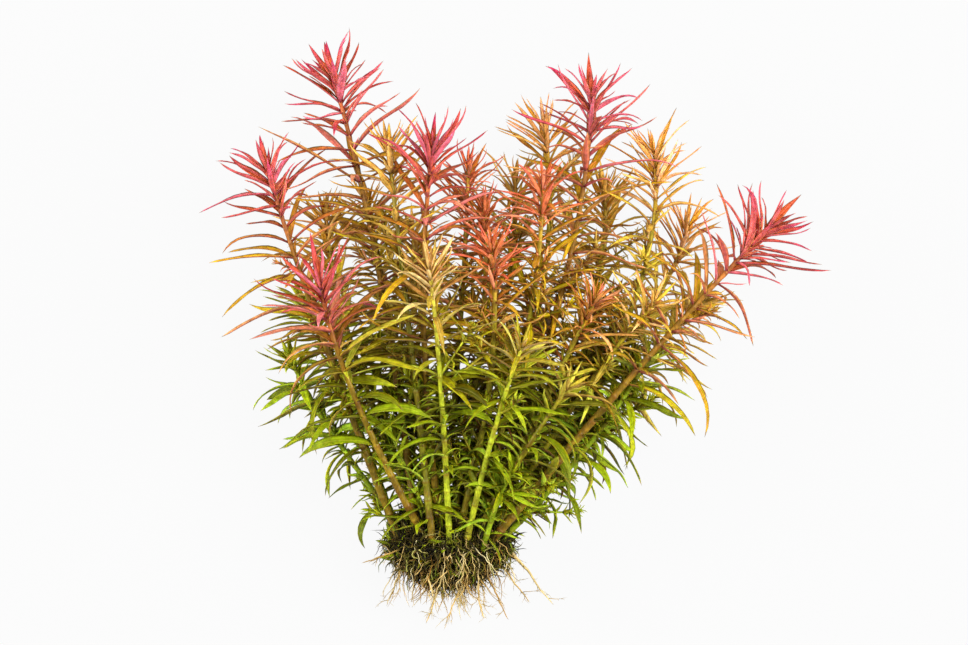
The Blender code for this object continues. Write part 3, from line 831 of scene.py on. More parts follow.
LEAF_FINISH = {
    "Roughness": 0.45,
    "Specular IOR Level": 0.06,
    "Subsurface Weight": 0.35,
    "Subsurface Radius": (1.0, 0.55, 0.25),
    "Subsurface Scale": 0.0012,
}
BUMP_STRENGTH = 0.5


def new_material(name, finish):
    """A material, its tree and its shader, with the values that are even all over it."""
    material = bpy.data.materials.new(name)
    material.use_nodes = True
    shader = material.node_tree.nodes["Principled BSDF"]
    for key, value in finish.items():
        shader.inputs[key].default_value = value
    return material, material.node_tree, shader


def put_group(tree, group, **inputs):
    return place(tree, "ShaderNodeGroup", inputs, node_tree=group).outputs


def paint(tree, shader, shade, mottle):
    """Gives the shader a mottled colour, and returns the height of its grain."""
    broken = put_group(tree, mottling, Color=shade, **mottle)
    tree.links.new(broken["Color"], shader.inputs["Base Color"])
    return broken["Height"]


def bump(tree, shader, height, distance):
    inputs = {"Height": height, "Distance": distance, "Strength": BUMP_STRENGTH}
    node = place(tree, "ShaderNodeBump", inputs)
    tree.links.new(node.outputs["Normal"], shader.inputs["Normal"])


def make_leaf_material(tone):
    material, tree, shader = new_material(tone + " leaf", LEAF_FINISH)
    pigment = put_group(tree, leaf_pigment, **TONES[tone])
    paint(tree, shader, pigment["Color"], LEAF_MOTTLE)
    bump(tree, shader, pigment["Height"], LEAF_BUMP)
    return material


leaf_materials = {tone: make_leaf_material(tone) for tone in TONES}
print("leaf materials:", ", ".join(leaf_materials))

# %% [markdown]
# Stems are red-brown to yellow near the crowns and olive to green at the foot. Their joints are
# slightly darker rings, and the skin has fine ribs and uneven brown patches. One group makes that
# for all tones, with a young, an old and a low colour to set.

# %% Stem skin
AGEING = (0.0, 0.6)
JOINT_MARKS = (0.35, 1.0, 0.0, 0.36)
PATCH_NOISE = (160.0, 4.0)
PATCHES = (0.5, 0.64, 0.0, 0.45)
LINE_STRETCH = (1.0, 0.25, 1.0)
LINE_NOISE = (2200.0, 2.0)
LINE_VALUES = (0.3, 0.7, 0.72, 1.25)


def make_stem_skin():
    inputs = {"Young": "Color", "Old": "Color", "Low": "Color", "Joint": "Color"}
    tree, given, result = group_tree("stem skin", inputs, {"Color": "Color", "Height": "Float"})
    age, low, joint = (attribute(tree, name) for name in ("age", "low", "across"))
    shade = mix(tree, between(tree, age, *AGEING), given["Young"], given["Old"])
    shade = mix(tree, low, shade, given["Low"])
    shade = mix(tree, between(tree, joint, *JOINT_MARKS), shade, given["Joint"])
    where = place(tree, "ShaderNodeTexCoord").outputs["Object"]
    patches = noise_at(tree, where, *PATCH_NOISE)
    shade = mix(tree, between(tree, patches, *PATCHES), shade, given["Joint"])
    stretch = {"Vector": where, "Scale": LINE_STRETCH}
    stretched = place(tree, "ShaderNodeMapping", stretch).outputs[0]
    lines = noise_at(tree, stretched, *LINE_NOISE)
    shade = brightened(tree, shade, between(tree, lines, *LINE_VALUES))
    tree.links.new(shade, result["Color"])
    tree.links.new(lines, result["Height"])
    return tree


stem_skin = make_stem_skin()
STEMS = {
    "pink": (colour(152, 74, 40), colour(112, 78, 18), colour(106, 86, 16)),
    "coral": (colour(148, 108, 32), colour(124, 114, 22), colour(104, 98, 16)),
    "orange": (colour(160, 118, 32), colour(132, 120, 24), colour(106, 100, 16)),
    "straw": (colour(168, 150, 52), colour(148, 146, 36), colour(130, 138, 24)),
    "olive": (colour(136, 110, 24), colour(112, 106, 16), colour(94, 90, 14)),
    "green": (colour(148, 150, 36), colour(126, 140, 22), colour(102, 118, 12)),
}
JOINT_BROWN = colour(84, 40, 12)
STEM_MOTTLE = {"Scale": 300.0, "Strength": 0.5}
STEM_BUMP = 0.0001
STEM_FINISH = {"Roughness": 0.4, "Specular IOR Level": 0.14}


def make_stem_material(tone):
    young, old, low = STEMS[tone]
    material, tree, shader = new_material(tone + " stem", STEM_FINISH)
    skin = put_group(tree, stem_skin, Young=young, Old=old, Low=low, Joint=JOINT_BROWN)
    paint(tree, shader, skin["Color"], STEM_MOTTLE)
    bump(tree, shader, skin["Height"], STEM_BUMP)
    return material


stem_materials = {tone: make_stem_material(tone) for tone in STEMS}
print("stem materials:", ", ".join(stem_materials))

# %% [markdown]
# Roots, moss and the thin stems of side shoots are all tapered tubes along a line. For a root the
# line wanders: it keeps its heading but is nudged a little at each step, which gives real kinks.

# %% Lines and threads
FLOOR_REBOUND = 0.2
NEARLY_PARALLEL = 0.01


def any_direction(rng):
    """A direction picked evenly from all round."""
    while True:
        point = Vector((rng.uniform(-1, 1), rng.uniform(-1, 1), rng.uniform(-1, 1)))
        if 0.1 < point.length < 1:
            return point.normalized()


def wander(start, heading, length, steps, bend, pull, rng):
    """A line that starts in a heading, wanders by bend at each step, and is pulled by pull."""
    points = [start]
    step = length / steps
    for _ in range(steps):
        heading = (heading + any_direction(rng) * bend + pull).normalized()
        point = points[-1] + heading * step
        if point.z < THREAD_LOWEST:
            point.z = THREAD_LOWEST
            heading.z = abs(heading.z) * FLOOR_REBOUND
        points.append(point)
    return points


def add_thread(growth, points, width, tip_width, sides, values, slot=0):
    """A tapered tube with a pointed end along a line."""
    side = Vector((0, 0, 1))
    rings = []
    for i, point in enumerate(points[:-1]):
        part = i / (len(points) - 1)
        heading = (points[i + 1] - points[max(i - 1, 0)]).normalized()
        side = side - heading * side.dot(heading)
        if side.length < NEARLY_PARALLEL:
            side = heading.orthogonal()
        side.normalize()
        across = heading.cross(side)
        radius = (width + (tip_width - width) * part) / 2
        ring = []
        for k in range(sides):
            angle = math.tau * k / sides
            offset = side * math.cos(angle) + across * math.sin(angle)
            ring.append((point + offset * radius, {"along": part, **values}))
        rings.append(ring)
    growth.add_skin(rings, (points[-1], {"along": 1.0, **values}), slot)


sample = wander(Vector(), Vector((0, 0, 1)), 10.0, 8, 0.4, Vector(), random.Random(1))
print("a wandering line of 10 mm ends", round(sample[-1].length, 1), "mm from its start")

# %% [markdown]
# Now the shoots can grow. Real leaves are less orderly than the rules: each gets a little more
# disorder here, and old ones droop, twist or have dropped. Those that point straight at the
# camera drop most, because they would hide the stem that the photo shows.

# %% Disorder and lost leaves
# Distances are in millimetres and angles in radians.
AGE_RUN = 58.0
LOW_TOP = 15.0
LOW_BOTTOM = -32.0
LOW_LEAN = 0.12
GREEN_BY_AGE = 2.5
DULL_BELOW = 25.0
DULL_RUN = 60.0
MOST_DULL = 0.3
LOST_LEAVES = ((0, 0.0), (30, 0.06), (80, 0.15), (130, 0.25))
LOW_LOSS = 0.25
FRONT = 0.75
FRONT_FROM = 9.0
FRONT_LOSS = 0.5
LOW_FRONT_LOSS = 0.2
FRONT_LIFT = 1.25
LOOSE_FROM = 15.0
LOOSE_TURN = 0.25
LIFT_DISORDER = 0.16
LOW_LIFT = 0.15
CURL_SHARES = (0.2, 1.25)
LOW_CURL = 0.9
LENGTH_SHARES = (0.85, 1.12)
CROWN_RUN = 14.0
CROWN_SPREAD = (-0.1, 0.35)
SHORTER = 0.4
MORE_ROLL = 1.6
LOW_ROLL = 1.3
PINK_REACH = 1.16
CORAL_REACHES = ((0, 0.75), (25, 1.0))
BLADES = {"pink": 2.7, "coral": 2.25, "orange": 2.2, "straw": 2.4, "olive": 2.6, "green": 2.6}


def dullness(axis):
    """How far a crown is past its red: pink ones never are, and others are when they sit low."""
    below = DULL_BELOW - axis.points[-1].y
    return 0.0 if axis.tone == "pink" else min(MOST_DULL, max(0.0, below / DULL_RUN))


def shade_of(axis, distance, tint):
    """Age and lowness of what grows at a distance up a shoot."""
    place_here = axis.frame(distance, 0).translation
    height = place_here.y + place_here.x * LOW_LEAN
    low = min(1.0, max(0.0, (LOW_TOP - height) / (LOW_TOP - LOW_BOTTOM)))
    dull = dullness(axis)
    smooth = low * low * (3 - 2 * low)
    age = dull + (1 - dull) * min(1.0, (axis.length - distance) / AGE_RUN)
    return {"age": age, "low": smooth * min(1.0, age * GREEN_BY_AGE), "tint": tint}


def loosen(settings, below_tip, low, rng):
    """The same leaf with the disorder that real leaves have, and a droop low in the bunch."""
    length, turn, lift, curl, roll = settings
    loose = min(1.0, below_tip / LOOSE_FROM)
    lift += rng.gauss(0, LIFT_DISORDER) * loose + LOW_LIFT * low
    if below_tip < CROWN_RUN:
        lift += rng.uniform(*CROWN_SPREAD)
    curl = curl * rng.uniform(*CURL_SHARES) + rng.uniform(0, LOW_CURL) * low
    length *= rng.uniform(*LENGTH_SHARES) * (1 - SHORTER * loose * rng.random() ** 2)
    roll *= MORE_ROLL + LOW_ROLL * low
    return length, turn + rng.uniform(-LOOSE_TURN, LOOSE_TURN) * loose, lift, curl, roll


def facing(node, turn):
    """How far a leaf points to the seen side: 1 is straight at it, and -1 straight away."""
    return (node @ Matrix.Rotation(turn, 4, "Z")).col[0].z


def lost(toward, below_tip, low, rng):
    """Old leaves drop, and those that would cover the stem on the seen side drop more."""
    chance = blend(below_tip, LOST_LEAVES) + LOW_LOSS * low
    if toward > FRONT and below_tip > FRONT_FROM:
        chance += FRONT_LOSS + LOW_FRONT_LOSS * low
    return rng.random() < chance


print("age runs over", AGE_RUN, "mm below a tip")

# %% [markdown]
# A leaf joint can grow again. Low on a stem, where the old leaves are gone, single young leaves
# come up. Higher up, small leaves stand in the angles between the big ones and the stem. In a
# crown, more narrow leaves fill the gaps between the whorls like the hairs of a brush.

# %% Small leaves
# Angles are in radians here too, and only the turn of the small leaves is in degrees.
LOWEST_JOINT = 5.0
LATE_LENGTHS = (8.0, 17.0)
LATE_CHANCE = {
    "pink": 0.14, "coral": 0.35, "orange": 0.35, "straw": 0.25, "olive": 0.6, "green": 0.32,
}
SHADED_FOOT = 20.0
SMALL_TURN = 40.0
SMALL_LIFTS = (0.5, 1.2)
SMALL_CURLS = (0.2, 1.4)
SMALL_ROLL = 0.5
AXIL_LENGTHS = (3.5, 9.5)
AXIL_CHANCE = {
    "pink": 0.4, "coral": 0.85, "orange": 0.55, "straw": 0.4, "olive": 0.85, "green": 0.6,
}
AXIL_FROM = {
    "pink": 20.0, "coral": 3.0, "orange": 14.0, "straw": 14.0, "olive": 6.0, "green": 10.0,
}
CROWN_LEAVES = {"pink": 16, "coral": 14, "orange": 9, "straw": 7, "olive": 7, "green": 5}
CROWN_DEPTHS = (1.0, 14.0)
CROWN_LEAF_SHARES = (0.5, 0.9)
CROWN_LIFT_SHARES = (0.6, 1.3)
CROWN_CURLS = (0.1, 0.9)
CROWN_ROLL = 0.6
CROWN_BLADE = 2.1


def add_small_leaves(growth, axis, distances, chance, lengths, rng):
    """Young leaves at some joints of a stem, fewer of them in the shade at its foot."""
    for distance in distances:
        for k in range(LEAVES_PER_WHORL):
            if rng.random() > chance * min(1.0, distance / SHADED_FOOT):
                continue
            turn = math.radians(LEAF_TURN * k + rng.uniform(-SMALL_TURN, SMALL_TURN))
            lift, curl = rng.uniform(*SMALL_LIFTS), rng.uniform(*SMALL_CURLS)
            roll = rng.uniform(-SMALL_ROLL, SMALL_ROLL)
            settings = (rng.uniform(*lengths), turn, lift, curl, roll)
            shade = shade_of(axis, distance, rng.random())
            add_leaf(growth, axis.frame(distance, 0), axis.width_at(distance), settings, shade, rng)


def add_crown_leaves(growth, axis, rng):
    """Narrow young leaves between the whorls of a crown."""
    for _ in range(CROWN_LEAVES[axis.tone]):
        below_tip = rng.uniform(*CROWN_DEPTHS)
        distance = axis.length - below_tip
        length = LEAF_LENGTH * blend(below_tip, YOUNG_LENGTHS) * rng.uniform(*CROWN_LEAF_SHARES)
        lift = math.radians(blend(below_tip, LIFTS)) * rng.uniform(*CROWN_LIFT_SHARES)
        curl, roll = rng.uniform(*CROWN_CURLS), rng.uniform(-CROWN_ROLL, CROWN_ROLL)
        settings = (length, rng.uniform(0, math.tau), lift, curl, roll)
        shade = shade_of(axis, distance, rng.random())
        node, width = axis.frame(distance, 0), axis.width_at(distance)
        add_leaf(growth, node, width, settings, shade, rng, blade=CROWN_BLADE)


print("leaves added to a pink crown:", CROWN_LEAVES["pink"])

# %% [markdown]
# Some of the buds at the joints become thin side shoots. A side shoot is a small copy of a shoot,
# with a line, a stem and whorls of its own, so the same helpers grow it. Side shoots make the
# middle of the bunch so dense, and the olive shoots have the most of them.

# %% Side shoots
TWIG_WIDTH = 0.9
TWIG_TIP_WIDTH = 0.4
TWIG_SIDES = 5
TWIG_BEND = 0.1
TWIG_LEAFY = 0.9
TWIG_LINE_STEP = 10
TWIG_FIRST_WHORL = (0.2, 0.8)
TWIG_GAPS = ((0, 1.0), (6, 2.2), (30, 3.6))
TWIG_GAP_SHARES = (0.8, 1.2)
TWIG_SKIPS = 0.2
TWIG_TURN = 0.35
TWIG_SIZES = (0.8, 1.2)
TWIG_LIFT_SHARES = (0.9, 1.5)
TWIG_CURLS = (0.1, 1.1)
TWIG_ROLL = 0.4
TWIG_AGE_SHARE = 0.8
TWIG_LOW_SHARE = 0.9
SIDE_SHOOT_FROM = 20.0
SIDE_SHOOT_FOOT = 6.0
SIDE_SHOOT_LOWEST = 2.0
SIDE_SHOOT_LOW_LOSS = 0.5
SIDE_SHOOT_CHANCE = ((20, 0.3), (40, 0.75), (90, 0.7), (130, 0.3))
SIDE_SHOOT_REACH = (5.0, 20.0)
SIDE_SHOOT_LEANS = (0.5, 1.0)
SIDE_SHOOT_LEAVES = (5.5, 10.0)
SIDE_SHOOT_SHARE = {
    "pink": 0.35, "coral": 1.6, "orange": 1.0, "straw": 1.0, "olive": 2.0, "green": 1.0,
}


def add_twig(growth, tone, foot, tip, leaf_length, shade_at, rng, spacing=1.0):
    """A short leafy side shoot from its foot to its tip, bent a little on the way."""
    reach = (tip - foot).length
    bend = Vector((rng.uniform(-1, 1), rng.uniform(-1, 1), rng.uniform(-0.5, 1)))
    middle = foot.lerp(tip, 0.5) + bend * reach * TWIG_BEND
    axis = Axis(tone, foot, middle, tip, TWIG_WIDTH, TWIG_LEAFY)
    line = axis.points[::TWIG_LINE_STEP]
    add_thread(growth, line, TWIG_WIDTH, TWIG_TIP_WIDTH, TWIG_SIDES, shade_at(0.5), slot=1)
    below_tip = rng.uniform(*TWIG_FIRST_WHORL)
    whorl = 0
    while below_tip < axis.length * axis.leafy:
        distance = axis.length - below_tip
        for k in range(LEAVES_PER_WHORL):
            if rng.random() < TWIG_SKIPS:
                continue
            turn = whorl_turn(whorl) + math.pi / 2 * k + rng.uniform(-TWIG_TURN, TWIG_TURN)
            length = leaf_length * blend(below_tip, YOUNG_LENGTHS) * rng.uniform(*TWIG_SIZES)
            lift = math.radians(blend(below_tip, LIFTS)) * rng.uniform(*TWIG_LIFT_SHARES)
            curl, roll = rng.uniform(*TWIG_CURLS), rng.uniform(-TWIG_ROLL, TWIG_ROLL)
            settings, shade = (length, turn, lift, curl, roll), shade_at(rng.random())
            add_leaf(growth, axis.frame(distance, 0), TWIG_WIDTH, settings, shade, rng)
        below_tip += blend(below_tip, TWIG_GAPS) * spacing * rng.uniform(*TWIG_GAP_SHARES)
        whorl += 1


def twig_shade(here):
    """Shade of what grows on a side shoot: a little younger and less low than its joint."""
    age, low = here["age"] * TWIG_AGE_SHARE, here["low"] * TWIG_LOW_SHARE
    return lambda tint: {"age": age, "low": low, "tint": tint}


def add_side_shoots(growth, axis, rng):
    """Side shoots out of the older joints of a stem."""
    for distance in joint_distances(axis):
        below_tip = axis.length - distance
        here = shade_of(axis, distance, 0.5)
        chance = blend(below_tip, SIDE_SHOOT_CHANCE) * SIDE_SHOOT_SHARE[axis.tone]
        chance *= 1 - SIDE_SHOOT_LOW_LOSS * here["low"]
        if below_tip < SIDE_SHOOT_FROM or distance < SIDE_SHOOT_FOOT or rng.random() > chance:
            continue
        node = axis.frame(distance, rng.uniform(0, math.tau))
        along, out = node.col[2].to_3d(), node.col[0].to_3d()
        reach = rng.uniform(*SIDE_SHOOT_REACH)
        lean = rng.uniform(*SIDE_SHOOT_LEANS)
        tip = node.translation + (along * math.cos(lean) + out * math.sin(lean)) * reach
        tip.z = max(tip.z, SIDE_SHOOT_LOWEST)
        leaf_length = rng.uniform(*SIDE_SHOOT_LEAVES)
        add_twig(growth, axis.tone, node.translation, tip, leaf_length, twig_shade(here), rng)


print("side shoots reach", SIDE_SHOOT_REACH, "mm")

# %% [markdown]
# Each shoot is one object: its stem, its whorls and everything that came up later. It takes the
# place of its solid, and it rides on the same body, so it stays where the solid was.

# %% Grow the shoots
def grow_shoot(number, axis):
    """One shoot as a stem and all its leaves."""
    rng = random.Random(number)
    growth = Growth()
    add_stem(growth, axis, lambda distance: shade_of(axis, distance, 0.5), rng)
    for whorl, below_tip in enumerate(whorl_distances(axis)):
        distance = axis.length - below_tip
        node = axis.frame(distance, 0)
        width = axis.width_at(distance)
        for regular in leaf_settings(number, whorl, below_tip, distance):
            shade = shade_of(axis, distance, rng.random())
            length, turn, lift, curl, roll = loosen(regular, below_tip, shade["low"], rng)
            if axis.tone == "pink":
                length *= PINK_REACH
            elif axis.tone == "coral":
                length *= blend(below_tip, CORAL_REACHES)
            toward = facing(node, turn)
            if toward > FRONT:
                lift *= FRONT_LIFT
            if not lost(toward, below_tip, shade["low"], rng):
                settings = (length, turn, lift, curl, roll)
                add_leaf(growth, node, width, settings, shade, rng, blade=BLADES[axis.tone])
    joints = joint_distances(axis)
    lowest_whorl = axis.length - whorl_distances(axis)[-1]
    bare = [joint for joint in joints if LOWEST_JOINT < joint < lowest_whorl - 1]
    highest = axis.length - AXIL_FROM[axis.tone]
    leafy = [joint for joint in joints if lowest_whorl <= joint <= highest]
    add_small_leaves(growth, axis, bare, LATE_CHANCE[axis.tone], LATE_LENGTHS, rng)
    add_small_leaves(growth, axis, leafy, AXIL_CHANCE[axis.tone], AXIL_LENGTHS, rng)
    add_side_shoots(growth, axis, rng)
    add_crown_leaves(growth, axis, rng)
    return growth


counts = dict.fromkeys(TONES, 0)
leaf_faces = 0
for number, axis in enumerate(axes):
    counts[axis.tone] += 1
    name = f"{axis.tone}_shoot_{counts[axis.tone]}"
    growth = grow_shoot(number, axis)
    materials = [leaf_materials[axis.tone], stem_materials[axis.tone]]
    shoot = growth.make_object(name + "_grown", materials)
    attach(shoot, "root")
    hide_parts(name)
    leaf_faces += len(growth.faces)
print("faces of all shoots:", leaf_faces)

# %% [markdown]
# The plug at the foot is moss and matted roots. Its core is a rounded block, narrower below, in
# the same form as its solid. Noise pushes its surface in and out, and thousands of small curved
# sprigs stand on it, because moss is read by its ragged edge and not by its surface.

# %% The plug's form
PLUG_LOWEST = 0.2
CORE_DIVISIONS = 5
CORE_FOOT = 0.85
CORE_SHARE = 0.86
CORE_TINT = 0.1
# Height of the lumps and the grain as shares of the plug's size, and the scale of their noise.
LUMPS = 0.1
LUMP_SCALE = 4
LUMP_OCTAVES = 3
GRAIN = 0.04
GRAIN_SCALE = 17


def ball_point(direction, swell=1.0, foot=1.0):
    """The plug's surface in a direction: a rounded block, narrower and open at its foot."""
    power = BALL_SQUARENESS
    radius = sum(abs(part) ** power for part in direction) ** (-1 / power) * swell
    point = Vector(part * radius * size for part, size in zip(direction, BALL_RADII))
    narrow = 1 - BALL_TAPER * max(0.0, -point.y / BALL_RADII.y)
    height = point.y * foot if point.y < 0 else point.y
    point = Vector((point.x * narrow, height, point.z * narrow)) + BALL_CENTRE
    point.z = max(point.z, PLUG_LOWEST)
    return point


def add_core(growth):
    """The core of the plug: a fine sphere pressed into the plug's form and roughened by noise, with
    painted shade in its hollows.
    """
    bm = bmesh.new()
    bmesh.ops.create_icosphere(bm, subdivisions=CORE_DIVISIONS, radius=1)
    index = {}
    for vert in bm.verts:
        direction = vert.co.normalized()
        rough = noise.fractal(direction * LUMP_SCALE, 1.0, 2.0, LUMP_OCTAVES) * LUMPS
        rough += noise.noise(direction * GRAIN_SCALE) * GRAIN
        point = ball_point(direction, CORE_SHARE + rough, CORE_FOOT)
        # The tint rises and falls with the lumps, so the hollows are darker: painted shade.
        index[vert] = growth.add_point(point, {"tint": CORE_TINT + rough})
    for face in bm.faces:
        growth.add_face(tuple(index[vert] for vert in face.verts), 0)
    bm.free()


plug_sides = [ball_point(Vector((side, 0, 0))).x for side in (-1, 1)]
print("the plug is", round(plug_sides[1] - plug_sides[0], 1), "mm wide")

# %% [markdown]
# Moss and roots need two finishes, made by one function. Moss takes its colour from each sprig's
# tint, from near black through brown to green, and pale on a few. Roots go from dark brown to
# cream in the same way, and the short fibres among them have the dark end of it.

# %% Materials of the plug
PLUG_BUMP = 0.0002
MOSS_MOTTLE = {"Scale": 500.0, "Strength": 0.5}
MOSS_FINISH = {"Roughness": 0.7, "Specular IOR Level": 0.12}
ROOT_MOTTLE = {"Scale": 350.0, "Strength": 0.5}
ROOT_FINISH = {"Roughness": 0.5, "Specular IOR Level": 0.12}
# Colour by tint, from 0 to 1.
MOSS_SHADES = (
    (0.0, colour(8, 6, 0)),
    (0.3, colour(28, 21, 1)),
    (0.5, colour(54, 44, 6)),
    (0.7, colour(86, 78, 18)),
    (0.88, colour(82, 98, 10)),
    (1.0, colour(148, 138, 76)),
)
ROOT_SHADES = (
    (0.0, colour(54, 34, 6)),
    (0.2, colour(126, 88, 30)),
    (0.45, colour(134, 106, 52)),
    (0.7, colour(152, 130, 78)),
    (1.0, colour(172, 160, 118)),
)


def ramp(tree, value, stops):
    """A colour read from a ramp of (position, colour) stops."""
    node = place(tree, "ShaderNodeValToRGB", {"Fac": value})
    elements = node.color_ramp.elements
    while len(elements) < len(stops):
        elements.new(0.5)
    for element, (position, shade) in zip(elements, stops):
        element.position = position
        element.color = shade
    return node.outputs["Color"]


def make_plug_material(name, stops, mottle, finish):
    material, tree, shader = new_material(name, finish)
    grain = paint(tree, shader, ramp(tree, attribute(tree, "tint"), stops), mottle)
    bump(tree, shader, grain, PLUG_BUMP)
    return material


moss = make_plug_material("moss", MOSS_SHADES, MOSS_MOTTLE, MOSS_FINISH)
root_skin = make_plug_material("root skin", ROOT_SHADES, ROOT_MOTTLE, ROOT_FINISH)
print("plug materials:", moss.name, "and", root_skin.name)

# %% [markdown]
# The moss is thousands of thin tapered tubes with three sides each. Short ones cover the core,
# taller ones make a collar between the stems, and long ones wind over it. A heading is a sum of
# a few directions, such as outwards, down and any, and their shares say how orderly a thread is.

# %% Threads of moss
DOWN = Vector((0, -1, 0))
# Tint of a sprig by a number drawn from 0 to 1: most are dark.
SPRIG_TINTS = ((0.0, 0.05), (0.3, 0.3), (0.6, 0.52), (0.9, 0.8), (1.0, 1.0))
# Threads start at a depth that is given as a share of the plug's size.
SPRIGS = 3400
SPRIG_LENGTHS = (0.9, 3.6)
SPRIG_DEPTHS = (0.84, 0.97)
SPRIG_WIDTHS = (0.25, 0.6)
CLUMP_SCALE = 6
BRIGHT_TINT = 0.6
BRIGHT_WIDTH = 1.3
COLLAR_SPRIGS = 1600
COLLAR_LENGTHS = (2.0, 9.0)
COLLAR_DEPTHS = (0.8, 1.0)
COLLAR_RISES = (0.4, 1.2)
COLLAR_WIDTHS = (0.3, 0.7)
# Dark taller sprigs between the feet of the stems: their dark is partly the moss's own colour and
# partly painted shade in the hollows there.
DARK_SPRIGS = 450
DARK_LENGTHS = (5.0, 11.0)
DARK_TINT = 0.45
STRANDS = 1500
STRAND_LENGTHS = (3.0, 9.0)
STRAND_DEPTHS = (0.92, 1.04)
STRAND_FALLS = (-0.2, 0.6)
STRAND_WIDTHS = (0.35, 0.9)
STRAND_TIP = 0.12


def add_sprigs(growth, rng):
    """Short curved sprigs all over the plug, in clumps of different length."""
    for _ in range(SPRIGS):
        direction = any_direction(rng)
        clump = 1 + noise.noise(direction * CLUMP_SCALE)
        start = ball_point(direction, rng.uniform(*SPRIG_DEPTHS), CORE_FOOT)
        heading = (direction + any_direction(rng) * 0.9 + DOWN * 0.25).normalized()
        length = rng.uniform(*SPRIG_LENGTHS) * clump
        line = wander(start, heading, length, steps=3, bend=0.4, pull=DOWN * 0.05, rng=rng)
        tint = blend(rng.random(), SPRIG_TINTS)
        width = rng.uniform(*SPRIG_WIDTHS) * (BRIGHT_WIDTH if tint > BRIGHT_TINT else 1.0)
        add_thread(growth, line, width, tip_width=0.1, sides=3, values={"tint": tint})


def add_collar(growth, count, lengths, most_tint, spread, rng):
    """Taller sprigs that stand up between the feet of the stems, as straight as spread is small."""
    for _ in range(count):
        direction = (any_direction(rng) - DOWN * rng.uniform(*COLLAR_RISES)).normalized()
        start = ball_point(direction, rng.uniform(*COLLAR_DEPTHS), CORE_FOOT)
        heading = (any_direction(rng) * spread - DOWN * 0.9).normalized()
        length = rng.uniform(*lengths)
        line = wander(start, heading, length, steps=5, bend=0.5, pull=Vector(), rng=rng)
        tint = most_tint * blend(rng.random(), SPRIG_TINTS)
        width = rng.uniform(*COLLAR_WIDTHS)
        add_thread(growth, line, width, STRAND_TIP, sides=3, values={"tint": tint})


def add_strands(growth, rng):
    """Longer strands that wind over the plug and stand off it a little."""
    for _ in range(STRANDS):
        direction = (any_direction(rng) + DOWN * rng.uniform(*STRAND_FALLS)).normalized()
        start = ball_point(direction, rng.uniform(*STRAND_DEPTHS), CORE_FOOT)
        heading = (any_direction(rng) + direction * 0.35 + DOWN * 0.3).normalized()
        inwards = DOWN * 0.1 - direction * 0.08
        length = rng.uniform(*STRAND_LENGTHS)
        line = wander(start, heading, length, steps=7, bend=0.65, pull=inwards, rng=rng)
        tint = blend(rng.random(), SPRIG_TINTS)
        width = rng.uniform(*STRAND_WIDTHS)
        add_thread(growth, line, width, STRAND_TIP, sides=3, values={"tint": tint})


print("sprigs and strands:", SPRIGS + COLLAR_SPRIGS + DARK_SPRIGS + STRANDS)

# %% [markdown]
# Small leaves caught in the moss break up the dark, as they do on a real plug. They are the same
# leaves as on the stems, only shorter, and they are green whatever grows above them.

# %% Leaves in the moss, and the whole plug
MOSS_SEED = 11
PLUG_LEAVES = 110
PLUG_LEAF_RISES = (0.0, 1.4)
PLUG_LEAF_DEPTH = 0.97
PLUG_LEAF_LENGTHS = (2.5, 6.5)
PLUG_LEAF_FOOT = 0.7
PLUG_LEAF_LIFTS = (0.2, 1.3)
PLUG_LEAF_CURLS = (0.0, 1.2)


def add_plug_leaves(growth, rng):
    """Small leaves that are caught in the moss, most of them near the stems."""
    for _ in range(PLUG_LEAVES):
        direction = (any_direction(rng) - DOWN * rng.uniform(*PLUG_LEAF_RISES)).normalized()
        foot = Matrix.Translation(ball_point(direction, PLUG_LEAF_DEPTH, CORE_FOOT))
        leaning = (direction + any_direction(rng) * 0.6).to_track_quat("Z", "Y")
        turn, lift = rng.uniform(0, math.tau), rng.uniform(*PLUG_LEAF_LIFTS)
        curl = rng.uniform(*PLUG_LEAF_CURLS)
        settings = (rng.uniform(*PLUG_LEAF_LENGTHS), turn, lift, curl, 0.0)
        shade = {"age": 1.0, "low": rng.uniform(0.8, 1.0), "tint": rng.uniform(0.0, 0.9)}
        node = foot @ leaning.to_matrix().to_4x4()
        add_leaf(growth, node, PLUG_LEAF_FOOT, settings, shade, rng, slot=1)


def grow_moss():
    rng = random.Random(MOSS_SEED)
    growth = Growth()
    add_core(growth)
    add_sprigs(growth, rng)
    add_collar(growth, COLLAR_SPRIGS, COLLAR_LENGTHS, most_tint=1.0, spread=1.0, rng=rng)
    # The dark collar: partly painted shade between the stems.
    add_collar(growth, DARK_SPRIGS, DARK_LENGTHS, most_tint=DARK_TINT, spread=0.4, rng=rng)
    add_strands(growth, rng)
    add_plug_leaves(growth, rng)
    piece = growth.make_object("moss_plug", [moss, leaf_materials["green"]])
    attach(piece, "root")
    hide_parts("root_ball")
    return len(growth.faces)


print("faces of the moss:", grow_moss())

# %% [markdown]
# The thick roots leave the plug where the real ones do, so they are a table again: where a root
# starts, where it ends, and how wide it is. Between its ends it wanders. Each has side roots, and
# those have finer ones, so the function that adds them calls itself once more.

